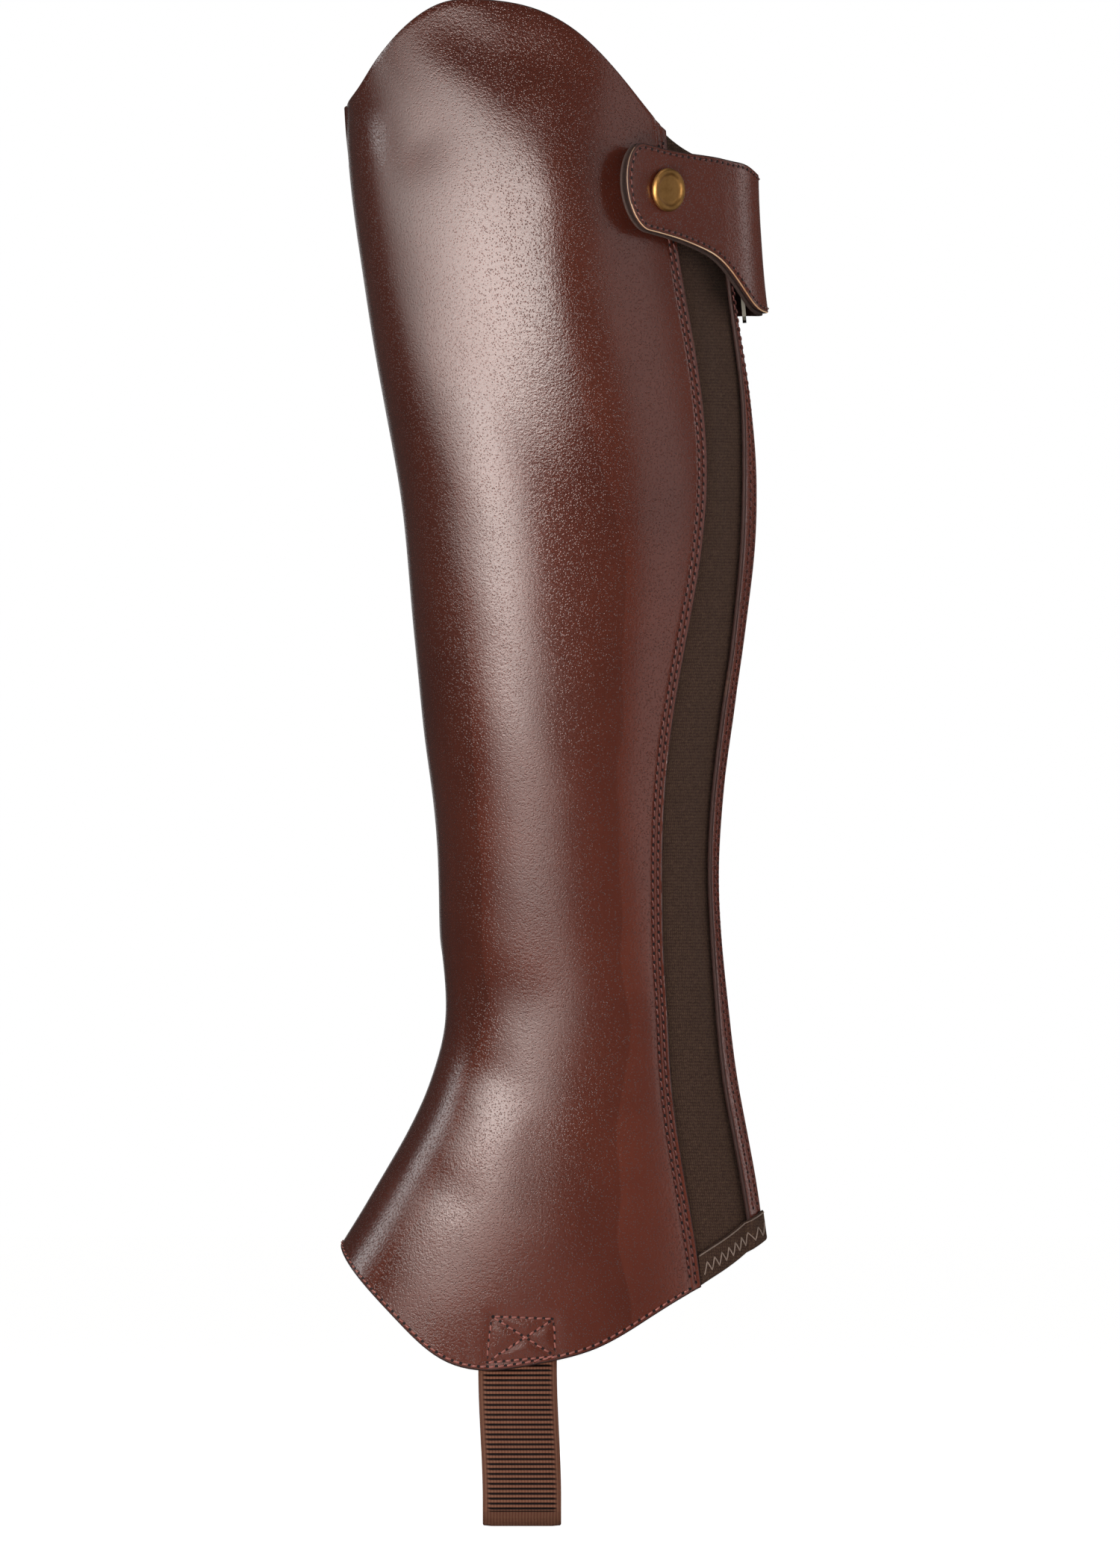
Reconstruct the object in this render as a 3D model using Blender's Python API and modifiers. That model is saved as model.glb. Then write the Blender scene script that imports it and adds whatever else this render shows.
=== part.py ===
"""Half chap for the left leg: a leather gaiter in the shape that it has on a leg, with nobody in it.

Units are millimetres until the points become a mesh. +Z is up, -X is the shin, +X the heel side,
and -Y the outer side of the leg. The origin is in the middle of the calf.
"""

from collections import namedtuple
from math import cos, pi, radians, sin

import bmesh
import bpy
import numpy as np
from mathutils import Matrix

MM = 0.001

# Cloth and leather
LEATHER = 1.6
ELASTIC = 1.4
TAPE = 1.0
BACKING = 1.2
GAP = 0.3

# Cross sections of the wall's outer face. The points columns sharpen the shin and the heel side:
# 1 is an ellipse. Seam and stay are the distances from the zip to the outer seam and to the zip
# stay's front edge, measured along the wall.
Section = namedtuple(
    "Section", "height front back outer inner forward shin_point heel_point seam stay"
)
SECTIONS = (
    Section(150, -71.6, 51.5, 44.0, 43.0, 12, 1.00, 1.25, 37.1, 8.0),
    Section(120, -72.0, 51.8, 51.0, 50.0, 12, 1.00, 1.38, 37.1, 8.0),
    Section(95, -70.8, 52.5, 54.5, 54.0, 12, 1.00, 1.44, 36.8, 8.0),
    Section(55, -65.6, 54.5, 56.0, 56.0, 12, 1.00, 1.42, 34.2, 8.0),
    Section(20, -60.1, 59.3, 56.0, 56.0, 10, 1.00, 1.32, 34.5, 10.4),
    Section(-15, -53.8, 61.8, 54.5, 55.0, 8, 1.00, 1.26, 36.5, 15.4),
    Section(-55, -49.7, 58.5, 51.0, 52.0, 7, 1.00, 1.24, 39.0, 14.2),
    Section(-95, -45.6, 53.1, 47.0, 47.5, 6, 1.00, 1.22, 39.9, 13.6),
    Section(-130, -41.9, 49.6, 42.5, 43.0, 5, 1.00, 1.18, 37.3, 12.7),
    Section(-165, -40.4, 51.0, 39.0, 39.0, 4, 1.00, 1.16, 36.8, 12.6),
    Section(-182, -39.2, 53.0, 38.2, 38.2, 4, 1.00, 1.15, 37.4, 13.8),
    Section(-208, -45.9, 56.6, 38.5, 38.5, 5, 1.08, 1.15, 38.3, 14.5),
    Section(-232, -58.4, 61.1, 40.5, 40.5, 7, 1.15, 1.16, 38.6, 13.8),
    Section(-256, -72.7, 64.6, 42.0, 42.0, 8, 1.20, 1.15, 37.4, 13.2),
    Section(-300, -98.0, 70.0, 43.0, 43.0, 8, 1.25, 1.15, 36.6, 13.0),
)
RING_STEPS = 360

# Lines on the cutting pattern: millimetres from the outer seam along the top, round the shin
ZIP = -42
STAY_REAR = -37
TAPE_EDGE = -33.5
STAY_FRONT = -30
SEAM = 0
LIP = 9
FAR_TAPE_EDGE = 311
FAR_EDGE = 320
ZIP_HALF_GAP = 5

# The top and bottom edges of the whole wall, at places on the cutting pattern
Edge = namedtuple("Edge", "station height")
TOP_EDGE = (
    Edge(-47, 91.0),
    Edge(-42, 91.0),
    Edge(-25, 92.2),
    Edge(-9, 96.4),
    Edge(0, 101.6),
    Edge(14, 115.7),
    Edge(30, 131.4),
    Edge(48, 140.9),
    Edge(65, 143.6),
    Edge(81, 142.4),
    Edge(97, 132.9),
    Edge(113, 120.2),
    Edge(141, 110.4),
    Edge(180, 104.0),
    Edge(240, 98.0),
    Edge(320, 92.0),
    Edge(330, 91.5),
)
BOTTOM_EDGE = (
    Edge(-47, -252.5),
    Edge(-42, -253.5),
    Edge(-30, -257.5),
    Edge(-15, -263.5),
    Edge(0, -269.4),
    Edge(17, -278.3),
    Edge(35, -288.9),
    Edge(52, -293.9),
    Edge(68, -296.0),
    Edge(80, -292.8),
    Edge(97, -280.6),
    Edge(113, -269.4),
    Edge(131, -260.0),
    Edge(147, -256.1),
    Edge(163, -259.5),
    Edge(182, -270.5),
    Edge(205, -286.0),
    Edge(226, -292.0),
    Edge(250, -284.0),
    Edge(285, -263.0),
    Edge(320, -253.5),
    Edge(330, -252.5),
)

# Creases in the leather, each along a straight line seen from the side: + is a ridge
Fold = namedtuple("Fold", "side x z end_x end_z width rise")
FOLDS = (
    Fold("outer", -22, -201, -8, -217, 4.5, -1.5),
    Fold("outer", -14, -228, -10, -239, 6.0, -0.9),
    Fold("outer", -41, -166, -14, -178, 8.0, -1.1),
    Fold("outer", -44, -236, -36, -240, 9.0, -0.8),
    Fold("outer", -36, -201, -21, -221, 5.0, 0.9),
    Fold("outer", -20, -221, 2, -222, 5.0, 0.8),
    Fold("outer", -64, 112, -50, 96, 10.0, -1.2),
    Fold("outer", -38, 126, -16, 114, 9.0, -1.0),
    Fold("outer", -12, 118, 4, 106, 8.0, -0.8),
    Fold("inner", -24, -196, -6, -210, 5.0, -1.5),
    Fold("inner", -40, -170, -18, -182, 8.0, -1.1),
    Fold("inner", -32, -214, -8, -224, 5.5, 0.9),
    Fold("inner", -12, -233, 2, -240, 6.0, -0.9),
    Fold("inner", -60, 84, -42, 72, 10.0, -1.1),
    Fold("inner", -20, 86, 2, 80, 9.0, -0.9),
)

WALL_ROWS = 40
ROW_ROOM = 0.0075  # rows come no closer than this to a piece's end, as a share of the height
PANEL_COLUMNS = 34
ANKLE_SHARE = 0.2  # where the rows lie closest, as a share of the wall's height
ANKLE_PULL = 0.055
GORE_COLUMNS = 6

# Gore hem
HEM_HEIGHT = 10.0
HEM_CLOTH = 1.0
HEM_RAMP = 3.0
HEM_LINES = (STAY_REAR, TAPE_EDGE, STAY_FRONT, -28.5, -27, -20, -13, -6, SEAM - 2 * GAP)

# Zip
CHAIN_HALF = 3.1
CHAIN_THICK = 2.4
CHAIN_OUT = -1.2
TAPE_INNER = 3.4
CHAIN_BOTTOM = -247.5
STOP_HEIGHT = 3.0
TAPE_TOP = 63.8
SLIDER_AT = 62.0
SLIDER_HALF = 3.8
PLATE_LOW = -6.0
PLATE_HIGH = 6.5
PLATE_THICK = 1.4
PLATE_OUT = 0.5
PLATE_IN = -6.0
NOSE = 3.0
BRIDGE_HALF = 1.5
BRIDGE_REACH = 3.2
BRIDGE_WALL = 1.0
BRIDGE_ROOM = 1.8
PULL_HALF = 3.5
PULL_LENGTH = 22.0
PULL_THICK = 1.2
PULL_BAR = 1.2
PULL_EYE_HALF = 2.0
PULL_EYE_END = 5.4
PULL_CORNER = 2.0
CORNER_POINTS = 4
# Turns an outline drawn as out, up so that it is extruded across the zip
SIDEWAYS = Matrix(((0, 0, -1, 0), (0, 1, 0, 0), (1, 0, 0, 0), (0, 0, 0, 1)))

# Snap tab: where its edges run at each distance from the zip, and how far its underside stands
# off the wall. Past the zip, on the inner side, distances are negative.
TabRow = namedtuple("TabRow", "distance low high lift")
TAB_ROWS = (
    TabRow(-46, 44.0, 85.5, 0.3),
    TabRow(-34, 43.5, 85.5, 0.3),
    TabRow(-23, 43.0, 85.6, 0.4),
    TabRow(-14, 42.6, 85.8, 2.2),
    TabRow(-7, 42.4, 86.2, 4.4),
    TabRow(0, 42.2, 87.6, 5.6),
    TabRow(4, 42.6, 89.2, 5.6),
    TabRow(8.5, 44.3, 90.8, 5.4),
    TabRow(12.7, 48.5, 91.5, 5.1),
    TabRow(16.4, 53.2, 92.0, 4.7),
    TabRow(20.2, 57.3, 92.6, 4.4),
    TabRow(24.2, 60.4, 93.1, 4.1),
    TabRow(29.7, 62.9, 93.6, 3.9),
    TabRow(35.4, 64.8, 94.1, 3.8),
    TabRow(41.4, 66.5, 94.8, 3.9),
    TabRow(47.3, 67.8, 95.8, 4.3),
    TabRow(52.6, 68.8, 96.8, 5.0),
    TabRow(61, 69.6, 97.3, 6.3),
)
TAB_SEWN_END = -46.0
TAB_ROUND_FROM = 52.6
TAB_TIP = 60.2
TAB_ROUND_STEPS = 6
TAB_ROUND_TURN = 80
TAB_STEP = 3.9
TAB_CROSS_ROWS = 5
BACKING_SHOWS = 1.2

# Snap, turned profiles as (radius, height above the tab's face)
SNAP_DISTANCE = 45.1
SNAP_HEIGHT = 82.0
SNAP_TURN_STEPS = 28
POST = 1.8
TAB_HOLE = 2.2
DRILL_STEPS = 24
DRILL_LENGTH = 12.0
TAB_THICK = LEATHER + GAP + BACKING
SOCKET_TOP = -TAB_THICK - 0.5
SOCKET_LOW = -TAB_THICK - 2.3
SOCKET_HALF = 5.2
KNOB = 1.5
KNOB_ROOM = 0.7
KNOB_HEIGHT = 1.3
STUD_HALF = 4.0
STUD_THICK = 0.7
SNAP_REACH = 5.0
SNAP_SEARCH_STEPS = 101

# Stirrup strap
STRAP_HALF = 12.6
STRAP_THICK = 2.0
STRAP_TOP_X = -16.0
STRAP_BOTTOM_X = -14.6
STRAP_SEWN_TOP = -277.0
STRAP_LEAVES = -296.0
STRAP_BOTTOM = -346.4
STRAP_CORNER = 8.0
STRAP_FOOT_HALF = 35.0
RIB_PITCH = 1.6
RIB_RISE = 0.5
RIBS_FROM = -290.0
STRAP_CORNER_STEP = 10
STRAP_BOW_AT = -290.0  # the strap takes the wall's curve from this height
SHARP_EDGE = 40


def spline(places, values, at):
    """Values at some places, on a smooth curve through a table's rows"""
    order = np.argsort(places)
    x, y = np.asarray(places, float)[order], np.asarray(values, float)[order]
    count, step = len(x), np.diff(x)
    system, right = np.eye(count), np.zeros(count)
    for i in range(1, count - 1):
        system[i, i - 1 : i + 2] = step[i - 1], 2 * (step[i - 1] + step[i]), step[i]
        right[i] = 6 * ((y[i + 1] - y[i]) / step[i] - (y[i] - y[i - 1]) / step[i - 1])
    bend = np.linalg.solve(system, right)
    i = np.clip(np.searchsorted(x, at) - 1, 0, count - 2)
    a, b = (x[i + 1] - at) / step[i], (at - x[i]) / step[i]
    curve = (a**3 - a) * bend[i] + (b**3 - b) * bend[i + 1]
    return a * y[i] + b * y[i + 1] + curve * step[i] ** 2 / 6


def column(table, place, name, at):
    """One named column of a table, read at some places"""
    return spline([getattr(r, place) for r in table], [getattr(r, name) for r in table], at)


def smooth(low, high, at):
    """0 at the low end, 1 at the high end, level at both"""
    t = np.clip((at - low) / (high - low), 0, 1)
    return t * t * (3 - 2 * t)


def ring(height):
    """The wall's outline at one height, from the zip over the outer side and shin, with lengths"""
    around = np.linspace(0, 2 * pi, RING_STEPS + 1)
    front, back, forward, shin, heel = (
        column(SECTIONS, "height", name, height)
        for name in ("front", "back", "forward", "shin_point", "heel_point")
    )
    reach, swell = np.cos(around), np.abs(np.sin(around))
    x = (back + front) / 2 + (back - front) / 2 * reach - forward * swell**2
    point = shin * (1 - reach) / 2 + heel * (1 + reach) / 2
    outer = column(SECTIONS, "height", "outer", height)
    inner = column(SECTIONS, "height", "inner", height)
    y = np.where(around < pi, -outer, inner) * swell**point
    length = np.concatenate(([0], np.cumsum(np.hypot(np.diff(x), np.diff(y)))))
    return x, y, length


def relief(point):
    """How far the creases move a point of the wall out, seen from the side"""
    total = 0.0
    side = "outer" if point[1] < 0 else "inner"
    for fold in FOLDS:
        if fold.side != side:
            continue
        start = np.array((fold.x, fold.z))
        run = np.array((fold.end_x, fold.end_z)) - start
        from_start = point[[0, 2]] - start
        share = np.clip(from_start @ run / (run @ run), 0, 1)
        away = np.linalg.norm(from_start - share * run) / fold.width
        total += fold.rise * np.exp(-away * away)
    return total


def plain_wall(distance, height):
    """A point of the wall's outer face before creasing, and the outline's own direction there"""
    x, y, length = ring(height)
    distance = distance % length[-1]
    point = np.array((np.interp(distance, length, x), np.interp(distance, length, y), height))
    step = length[-1] / RING_STEPS
    ahead, behind = (distance + step) % length[-1], (distance - step) % length[-1]
    along = np.array(
        (
            np.interp(ahead, length, x) - np.interp(behind, length, x),
            np.interp(ahead, length, y) - np.interp(behind, length, y),
            0.0,
        )
    )
    return point, along


def wall(distance, height, out):
    """A point of the wall at a distance from the zip along it, moved out along its normal"""
    point, along = plain_wall(distance, height)
    above, _ = plain_wall(distance, height + 1)
    below, _ = plain_wall(distance, height - 1)
    normal = np.cross(above - below, along)
    normal /= np.linalg.norm(normal)
    return point + normal * (out + relief(point)), normal


def distance_at(station, height):
    """How far a line of the cutting pattern lies from the zip at a height, along the wall"""
    around = ring(height)[2][-1]
    seam = float(column(SECTIONS, "height", "seam", height))
    stay = float(column(SECTIONS, "height", "stay", height))
    lines = (ZIP - ZIP_HALF_GAP, ZIP, STAY_REAR, STAY_FRONT, SEAM, FAR_EDGE, FAR_EDGE + ZIP_HALF_GAP)
    places = (
        -ZIP_HALF_GAP,
        0,
        ZIP_HALF_GAP,
        stay,
        seam,
        around - ZIP_HALF_GAP,
        around,
    )
    return float(np.interp(station, lines, places))


def edge_height(edge, station):
    return float(column(edge, "station", "height", station))


def share_at(station, height):
    """The row that meets a height on a line of the cutting pattern"""
    low, high = edge_height(BOTTOM_EDGE, station), edge_height(TOP_EDGE, station)
    return (height - low) / (high - low)


def on_pattern(station, share, out):
    """A point of the wall by its line on the cutting pattern and its share of the height"""
    low, high = edge_height(BOTTOM_EDGE, station), edge_height(TOP_EDGE, station)
    height = low + share * (high - low)
    return wall(distance_at(station, height), height, out)[0]


def wall_rows(low=0.0, high=1.0):
    """Shares of the wall's height, closest at the ankle, cut to a range"""
    even = np.linspace(0, 1, WALL_ROWS)
    pull = [ANKLE_PULL * sin(2 * pi * (t - ANKLE_SHARE)) for t in even]
    shares = even - pull + pull[0]
    return [low, *(s for s in shares if low + ROW_ROOM < s < high - ROW_ROOM), high]


def finish(name, colour, roughness, metallic=0.0):
    """One material with its own colour"""
    made = bpy.data.materials.new(name)
    made.use_nodes = True
    shader = made.node_tree.nodes["Principled BSDF"]
    shader.inputs["Base Color"].default_value = (*colour, 1)
    shader.inputs["Roughness"].default_value = roughness
    shader.inputs["Metallic"].default_value = metallic
    return made


def add(name, mesh, material, matrix=None):
    """An object in the half chap's collection"""
    made = bpy.data.objects.new(name, mesh)
    mesh.materials.clear()
    mesh.materials.append(material)
    if matrix is not None:
        made.matrix_world = matrix
    PARTS.objects.link(made)
    return made


def sheet(name, material, columns, rows, point, thickness):
    """A sheet of cloth: an open grid of points on its outer face, made thick inwards"""
    bm = bmesh.new()
    grid = [[bm.verts.new(point(c, r) * MM) for r in rows] for c in columns]
    for left, right in zip(grid, grid[1:]):
        for i in range(len(rows) - 1):
            bm.faces.new((left[i], left[i + 1], right[i + 1], right[i]))
    mesh = bpy.data.meshes.new(name)
    bm.to_mesh(mesh)
    bm.free()
    mesh.shade_smooth()
    made = add(name, mesh, material)
    solid = made.modifiers.new("Thickness", "SOLIDIFY")
    solid.thickness = thickness * MM
    solid.offset = -1
    solid.use_even_offset = True
    solid.use_quality_normals = True
    return made


def loft(name, material, loops):
    """A closed solid through unlike cross sections, each a loop of as many points"""
    bm = bmesh.new()
    rings = [[bm.verts.new(p * MM) for p in loop] for loop in loops]
    count = len(rings[0])
    for here, there in zip(rings, rings[1:]):
        for i in range(count):
            j = (i + 1) % count
            bm.faces.new((here[i], here[j], there[j], there[i]))
    bm.faces.new(rings[0])
    bm.faces.new(rings[-1])
    bmesh.ops.recalc_face_normals(bm, faces=bm.faces)
    mesh = bpy.data.meshes.new(name)
    bm.to_mesh(mesh)
    bm.free()
    mesh.shade_smooth()
    mesh.set_sharp_from_angle(angle=radians(SHARP_EDGE))
    return add(name, mesh, material)


def turned(name, material, profile, matrix):
    """A turned piece: its profile from the top of the axis down its outer side"""
    mesh = bpy.data.meshes.new(name)
    points = [(r * MM, 0, h * MM) for r, h in profile]
    mesh.from_pydata(points, [(i, i + 1) for i in range(len(points) - 1)], [])
    made = add(name, mesh, material, matrix)
    screw = made.modifiers.new("Turn", "SCREW")
    screw.steps = SNAP_TURN_STEPS
    screw.render_steps = SNAP_TURN_STEPS
    screw.use_merge_vertices = True
    screw.merge_threshold = 0.00001
    return made


def rounded(points, corner):
    """An outline whose corners are cut by short arcs"""
    made = []
    points = [np.array(p, float) for p in points]
    for before, here, after in zip(points[-1:] + points[:-1], points, points[1:] + points[:1]):
        back, on = before - here, after - here
        back, on = back / np.linalg.norm(back), on / np.linalg.norm(on)
        for t in np.linspace(0, 1, CORNER_POINTS):
            made.append(here + back * corner * (1 - t) ** 2 + on * corner * t**2)
    return made


def extruded(name, material, outlines, half, matrix):
    """A flat outline, with any holes, extruded both ways along its own Z, as a mesh"""
    curve = bpy.data.curves.new(name, "CURVE")
    curve.dimensions = "2D"
    curve.fill_mode = "BOTH"
    curve.extrude = half * MM
    for outline in outlines:
        line = curve.splines.new("POLY")
        line.points.add(len(outline) - 1)
        for point, (x, y) in zip(line.points, outline):
            point.co = (x * MM, y * MM, 0, 1)
        line.use_cyclic_u = True
    shape = bpy.data.objects.new(name + " outline", curve)
    PARTS.objects.link(shape)
    bpy.context.view_layer.update()
    graph = bpy.context.evaluated_depsgraph_get()
    mesh = bpy.data.meshes.new_from_object(shape.evaluated_get(graph))
    bm = bmesh.new()
    bm.from_mesh(mesh)
    bmesh.ops.remove_doubles(bm, verts=bm.verts, dist=0.00001)
    bmesh.ops.recalc_face_normals(bm, faces=bm.faces)
    bm.to_mesh(mesh)
    bm.free()
    bpy.data.objects.remove(shape)
    mesh.name = name
    return add(name, mesh, material, matrix)


def boolean(piece, other, operation, solver="EXACT"):
    """Cut a piece with another object, or join it on"""
    change = piece.modifiers.new(operation.title(), "BOOLEAN")
    change.operation = operation
    change.solver = solver
    change.object = other
    other.hide_render = True
    other.display_type = "WIRE"
    for collection in other.users_collection:
        collection.objects.unlink(other)
    CUTTERS.objects.link(other)


def frame_on(point, normal, up):
    """A matrix whose Z is the normal and whose Y is as near up as it can be"""
    across = np.cross(up, normal)
    across /= np.linalg.norm(across)
    rise = np.cross(normal, across)
    made = Matrix.Identity(4)
    for i in range(3):
        made[i][0], made[i][1], made[i][2] = across[i], rise[i], normal[i]
        made[i][3] = point[i] * MM
    return made


def leather_panel():
    """The one big piece of leather, from the outer seam round the shin to the zip"""
    middle = np.linspace(LIP, FAR_TAPE_EDGE, PANEL_COLUMNS)
    sheet(
        "leather_panel",
        BROWN,
        [SEAM, *middle, FAR_EDGE],
        wall_rows(),
        lambda station, share: on_pattern(station, share, 0),
        LEATHER,
    )


def elastic_gore():
    """Elastic under the leather's lip and under the zip stay"""
    rear = TAPE_EDGE + GAP
    lines = [rear, *np.linspace(STAY_FRONT, SEAM, GORE_COLUMNS), LIP]
    low = share_at(SEAM, edge_height(BOTTOM_EDGE, SEAM) + HEM_CLOTH + 2 * GAP)
    sheet(
        "elastic_gore",
        ELASTIC_BROWN,
        lines,
        wall_rows(low, 1.0),
        lambda station, share: on_pattern(station, share, -LEATHER - GAP),
        ELASTIC,
    )


def gore_hem():
    """The gore's folded lower end, which also takes in the end of the zip stay"""
    loops = []
    for station in HEM_LINES:
        over_stay = 1 - smooth(STAY_FRONT, STAY_FRONT + HEM_RAMP, station)
        near = -LEATHER + over_stay * LEATHER + GAP - (1 - over_stay) * GAP
        far = -LEATHER - 2 * GAP - ELASTIC
        low = share_at(station, edge_height(BOTTOM_EDGE, station))
        fold = share_at(station, edge_height(BOTTOM_EDGE, station) + HEM_CLOTH)
        high = share_at(station, edge_height(BOTTOM_EDGE, station) + HEM_HEIGHT)
        profile = (
            (high, near + HEM_CLOTH),
            (low, near + HEM_CLOTH),
            (low, far - HEM_CLOTH),
            (high, far - HEM_CLOTH),
            (high, far),
            (fold, far),
            (fold, near),
            (high, near),
        )
        loops.append([on_pattern(station, share, out) for share, out in profile])
    loft("gore_hem", ELASTIC_BROWN, loops)


def zip_stay():
    """The narrow strip of leather over the zip tape's and the gore's edges"""
    low = share_at(STAY_FRONT, edge_height(BOTTOM_EDGE, STAY_FRONT) + HEM_CLOTH + 2 * GAP)
    sheet(
        "zip_stay",
        BROWN,
        (STAY_REAR, TAPE_EDGE, STAY_FRONT),
        wall_rows(low, 1.0),
        lambda station, share: on_pattern(station, share, 0),
        LEATHER,
    )


def zip_tapes_and_chain():
    """The closed zip below its slider"""
    tapes = (
        ("zip_tape_outer", (ZIP + TAPE_INNER, STAY_REAR, TAPE_EDGE - GAP)),
        ("zip_tape_inner", (FAR_TAPE_EDGE, FAR_EDGE, FAR_EDGE + ZIP_HALF_GAP - TAPE_INNER)),
    )
    rows = wall_rows(
        share_at(ZIP, CHAIN_BOTTOM - STOP_HEIGHT),
        share_at(ZIP, TAPE_TOP),
    )
    for name, lines in tapes:
        sheet(
            name,
            ZIP_TAPE,
            lines,
            rows,
            lambda station, share: on_pattern(station, share, -LEATHER - GAP),
            TAPE,
        )
    top = share_at(ZIP, SLIDER_AT + PLATE_LOW - GAP)
    low, high = edge_height(BOTTOM_EDGE, ZIP), edge_height(TOP_EDGE, ZIP)
    heights = [low + share * (high - low) for share in wall_rows(share_at(ZIP, CHAIN_BOTTOM), top)]
    loft("zip_chain", ZIP_TEETH, [chain_section(height) for height in heights])
    stop = CHAIN_BOTTOM - GAP
    loft("zip_stop", NICKEL, [chain_section(height) for height in (stop - STOP_HEIGHT, stop)])


def chain_section(height):
    """The closed teeth's cross section at a height"""
    inner = CHAIN_OUT - CHAIN_THICK
    profile = (
        (-CHAIN_HALF, inner),
        (-CHAIN_HALF, CHAIN_OUT),
        (0, CHAIN_OUT),
        (CHAIN_HALF, CHAIN_OUT),
        (CHAIN_HALF, inner),
        (0, inner),
    )
    return [wall(distance, height, out)[0] for distance, out in profile]


def slider_frame(out):
    """The frame of the slider, with its Z out of the wall, Y up and X across the zip"""
    point, normal = wall(0, SLIDER_AT, out)
    return frame_on(point, normal, (0, 0, 1))


def zip_slider():
    """Two plates joined by a nose at the top, and a bridge that the pull hangs on"""
    # Seen from the side of the zip: X out of the wall, Y up the zip, extruded across it
    sideways = slider_frame(0) @ SIDEWAYS
    inside = PLATE_IN + PLATE_THICK
    outside = PLATE_OUT - PLATE_THICK
    plates = (
        (PLATE_IN, PLATE_LOW),
        (inside, PLATE_LOW),
        (inside, PLATE_HIGH - NOSE),
        (outside, PLATE_HIGH - NOSE),
        (outside, PLATE_LOW),
        (PLATE_OUT, PLATE_LOW),
        (PLATE_OUT, PLATE_HIGH),
        (PLATE_IN, PLATE_HIGH),
    )
    foot = PLATE_OUT - PLATE_THICK / 2
    inner_reach = BRIDGE_REACH - BRIDGE_WALL
    room = PLATE_OUT + BRIDGE_ROOM
    bridge = (
        (foot, -BRIDGE_REACH),
        (room, -BRIDGE_REACH),
        (room + BRIDGE_WALL, -inner_reach),
        (room + BRIDGE_WALL, inner_reach),
        (room, BRIDGE_REACH),
        (foot, BRIDGE_REACH),
        (foot, inner_reach),
        (room, inner_reach),
        (room, -inner_reach),
        (foot, -inner_reach),
    )
    made = extruded("zip_slider", NICKEL, [plates], SLIDER_HALF, sideways)
    arch = extruded("slider bridge", NICKEL, [bridge], BRIDGE_HALF, sideways)
    # The exact solver leaves this small join open
    boolean(made, arch, "UNION", "MANIFOLD")


def zip_pull():
    """The pull tab, which hangs on the bridge by the bar at the top of its eye"""
    half_bar = PULL_BAR / 2
    plate = (
        (-PULL_HALF, half_bar),
        (-PULL_HALF, -PULL_LENGTH),
        (PULL_HALF, -PULL_LENGTH),
        (PULL_HALF, half_bar),
    )
    outline = [
        plate[0],
        *rounded(plate, PULL_CORNER)[CORNER_POINTS : 3 * CORNER_POINTS],
        plate[3],
    ]
    eye = (
        (-PULL_EYE_HALF, -half_bar),
        (-PULL_EYE_HALF, -PULL_EYE_END),
        (PULL_EYE_HALF, -PULL_EYE_END),
        (PULL_EYE_HALF, -half_bar),
    )
    axis = PLATE_OUT + BRIDGE_ROOM / 2
    made = extruded("zip_pull", NICKEL, [outline, eye], PULL_THICK / 2, slider_frame(axis))
    print("pull hinge, metres:", [round(v, 5) for v in made.matrix_world.translation])


def tab_at(name, distance):
    """One column of the tab's table at a distance from the zip"""
    return float(column(TAB_ROWS, "distance", name, distance))


def tab_points(grow):
    """Places along the tab, and how much of its height each keeps where its end is round"""
    straight = np.arange(TAB_SEWN_END, TAB_ROUND_FROM, TAB_STEP)
    places = [(distance, 1.0) for distance in straight]
    length = TAB_TIP + grow - TAB_ROUND_FROM
    for i in range(TAB_ROUND_STEPS + 1):
        turn = radians(TAB_ROUND_TURN) * i / TAB_ROUND_STEPS
        places.append((TAB_ROUND_FROM + length * sin(turn), cos(turn)))
    return places


def tab_layer(name, material, grow, out, thickness):
    """One layer of the tab, at a height above its underside"""

    def point(place, share):
        distance, keep = place
        low, high = tab_at("low", distance) - grow / 2, tab_at("high", distance)
        middle, half = (low + high) / 2, (high - low) / 2
        height = middle + (2 * share - 1) * half * keep
        return wall(distance, height, tab_at("lift", distance) + out)[0]

    rows = np.linspace(0, 1, TAB_CROSS_ROWS)
    return sheet(name, material, tab_points(grow), rows, point, thickness)


def snap_frame():
    """The frame of the snap's cap, with its Z out of the tab's face"""

    def face(distance):
        return wall(distance, SNAP_HEIGHT, tab_at("lift", distance) + TAB_THICK)[0]

    along = face(SNAP_DISTANCE + 2) - face(SNAP_DISTANCE - 2)
    normal = np.cross((0, 0, 1), along)
    normal /= np.linalg.norm(normal)
    return frame_on(face(SNAP_DISTANCE), normal, (0, 0, 1))


def under_snap():
    """The frame of the wall's outer face where the cap's axis meets it"""
    cap = snap_frame()
    axis, face = np.array(cap.col[2][:3]), np.array(cap.col[3][:3]) / MM

    def off_axis(distance):
        return np.linalg.norm(np.cross(wall(distance, SNAP_HEIGHT, 0)[0] - face, axis))

    near = np.linspace(SNAP_DISTANCE - SNAP_REACH, SNAP_DISTANCE + SNAP_REACH, SNAP_SEARCH_STEPS)
    point, normal = wall(min(near, key=off_axis), SNAP_HEIGHT, 0)
    return frame_on(point, normal, (0, 0, 1))


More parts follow.
